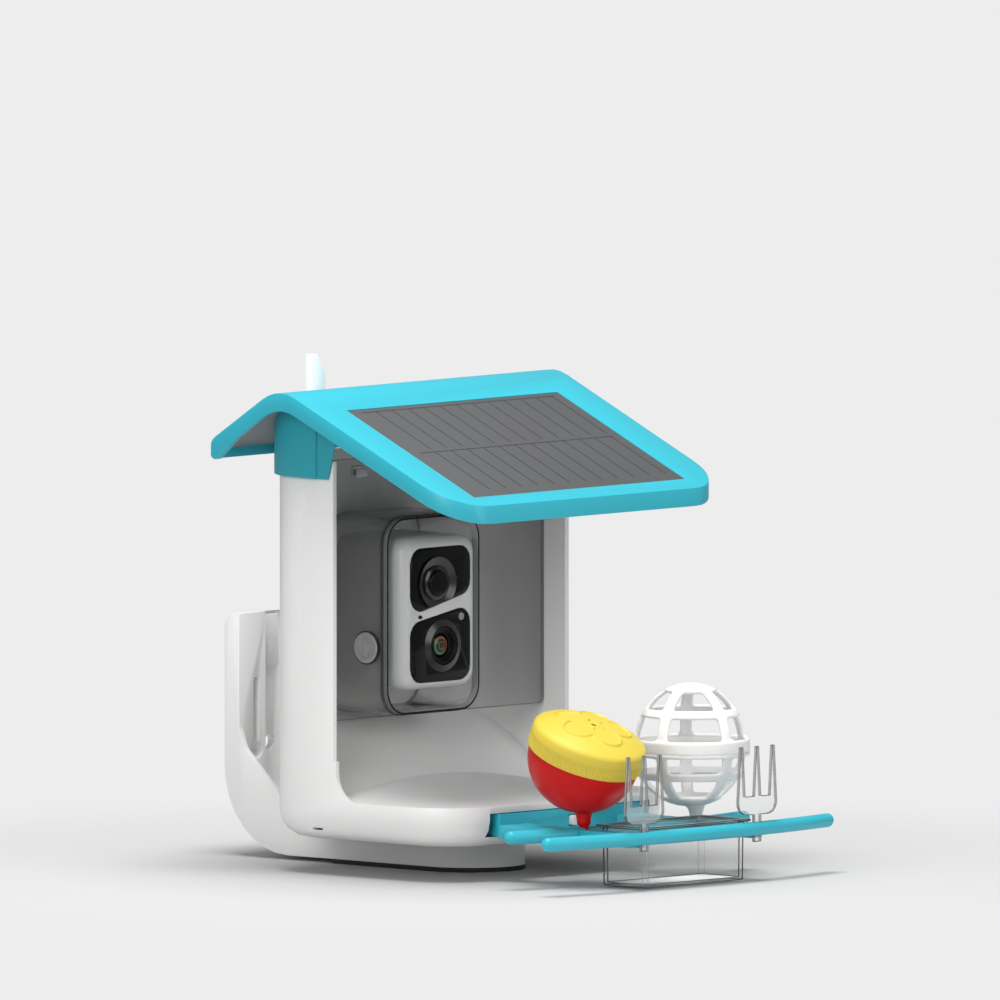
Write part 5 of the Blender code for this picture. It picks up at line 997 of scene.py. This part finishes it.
def make_clip(name, x):
    low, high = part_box("front_panel")
    clip = bmesh.new()
    for size, middle in (CLIP_TAB, CLIP_LIP):
        made = bmesh.ops.create_cube(clip, size=1)["verts"]
        bmesh.ops.scale(clip, vec=Vector(size) * MM, verts=made)
        bmesh.ops.translate(clip, vec=Vector(middle) * MM, verts=made)
    round_edges(clip, 0.35, segments=2, sharp_degrees=30)
    put(clip, (x, low[1] - CLIP_PROUD, high[2] - CLIP_DROP))
    publish(name, clip, [clip_grey], "feeder")


make_clip("left_panel_clip", -CLIP_X)
make_clip("right_panel_clip", CLIP_X)
print("panel clips ready")

# %% [markdown]
# A pale paper floor fades into the flat pale background, so only the soft shadow round the feeder
# tells where the ground is. The camera sees the background's own colour outside a circle, and real
# shaded paper inside it, with painted shade that makes it darker close to the feeder. The world shows
# the same pale colour to the camera and through clear parts, and lights the object evenly from all
# round. Three soft square lamps give the light its direction: one above, one at the left and a weak one
# in front.

# %% Studio
BACKGROUND = "#EDEDED"
# Painted shade: the paper darkens from the far tone to this one close to the feeder.
NEAR_PAPER_PAINTED_SHADE = "#B2B2B2"
FAR_PAPER = "#C9C9C9"
SKY_STRENGTH = 0.34
FLOOR_RADIUS = 0.75
FADE_START = 0.17
FADE_END = 0.50
PAINTED_SHADE_START = 0.06
PAINTED_SHADE_END = 0.26


def studio_paper():
    material, tree, shader = new_material("Pale studio paper, painted shade near the feeder",
                                          {"Roughness": 0.9, "Specular IOR Level": 0.1})
    place = add(tree, "ShaderNodeTexCoord").outputs["Object"]
    distance = add(tree, "ShaderNodeVectorMath", {"operation": "LENGTH"}, {0: place})
    near = add(tree, "ShaderNodeMapRange", {"interpolation_type": "SMOOTHSTEP", "From Min": PAINTED_SHADE_START,
                                            "From Max": PAINTED_SHADE_END}, {"Value": distance.outputs["Value"]})
    tone = add(tree, "ShaderNodeMix", {"data_type": "RGBA", 6: linear(NEAR_PAPER_PAINTED_SHADE), 7: linear(FAR_PAPER)},
               {0: near.outputs["Result"]})
    tree.links.new(tone.outputs[2], shader.inputs["Base Color"])
    fade = add(tree, "ShaderNodeMapRange", {"interpolation_type": "SMOOTHSTEP", "From Min": FADE_START,
                                            "From Max": FADE_END}, {"Value": distance.outputs["Value"]})
    path = add(tree, "ShaderNodeLightPath")
    seen = add(tree, "ShaderNodeMath", {"operation": "MULTIPLY"},
               {0: fade.outputs["Result"], 1: path.outputs["Is Camera Ray"]})
    flat = add(tree, "ShaderNodeEmission", {"Color": linear(BACKGROUND), "Strength": 1.0})
    both = add(tree, "ShaderNodeMixShader",
               links={0: seen.outputs[0], 1: shader.outputs[0], 2: flat.outputs[0]})
    tree.links.new(both.outputs[0], tree.nodes["Material Output"].inputs["Surface"])
    return material


def studio_floor():
    work = bmesh.new()
    bmesh.ops.create_circle(work, cap_ends=True, radius=FLOOR_RADIUS, segments=96)
    mesh = bpy.data.meshes.new("studio_floor")
    work.to_mesh(mesh)
    work.free()
    floor = bpy.data.objects.new("studio_floor", mesh)
    bpy.context.scene.collection.objects.link(floor)
    mesh.materials.append(studio_paper())


def soft_lamp(name, place, size, power, aim):
    """A square lamp, sized in metres, whose light is aimed at a point on the feeder."""
    lamp_data = bpy.data.lights.new(name, "AREA")
    lamp_data.shape = "SQUARE"
    lamp_data.size = size
    lamp_data.energy = power
    lamp = bpy.data.objects.new(name, lamp_data)
    bpy.context.scene.collection.objects.link(lamp)
    lamp.location = place
    lamp.rotation_euler = (Vector(aim) - Vector(place)).to_track_quat("-Z", "Y").to_euler()


def studio_world():
    world = bpy.data.worlds.new("studio_sky")
    bpy.context.scene.world = world
    world.use_nodes = True
    tree = world.node_tree
    tree.nodes.clear()
    path = add(tree, "ShaderNodeLightPath")
    sky = add(tree, "ShaderNodeBackground", {"Color": (1, 1, 1, 1), "Strength": SKY_STRENGTH})
    seen = add(tree, "ShaderNodeBackground", {"Color": linear(BACKGROUND), "Strength": 1.0})
    direct = add(tree, "ShaderNodeMath", {"operation": "MAXIMUM"},
                 {0: path.outputs["Is Camera Ray"], 1: path.outputs["Is Transmission Ray"]})
    both = add(tree, "ShaderNodeMixShader", links={0: direct.outputs[0], 1: sky.outputs[0],
                                                   2: seen.outputs[0]})
    add(tree, "ShaderNodeOutputWorld", links={"Surface": both.outputs[0]})


studio_floor()
studio_world()
soft_lamp("top_lamp", (-0.3, -0.2, 2.0), 0.9, 42, (0, 0, 0.1))
soft_lamp("left_lamp", (-2.2, -0.7, 0.9), 1.2, 19, (0, 0, 0.12))
soft_lamp("front_lamp", (0.5, -2.4, 0.8), 1.2, 12, (0, 0, 0.12))
bpy.context.scene.view_settings.view_transform = "Standard"
print("studio ready")
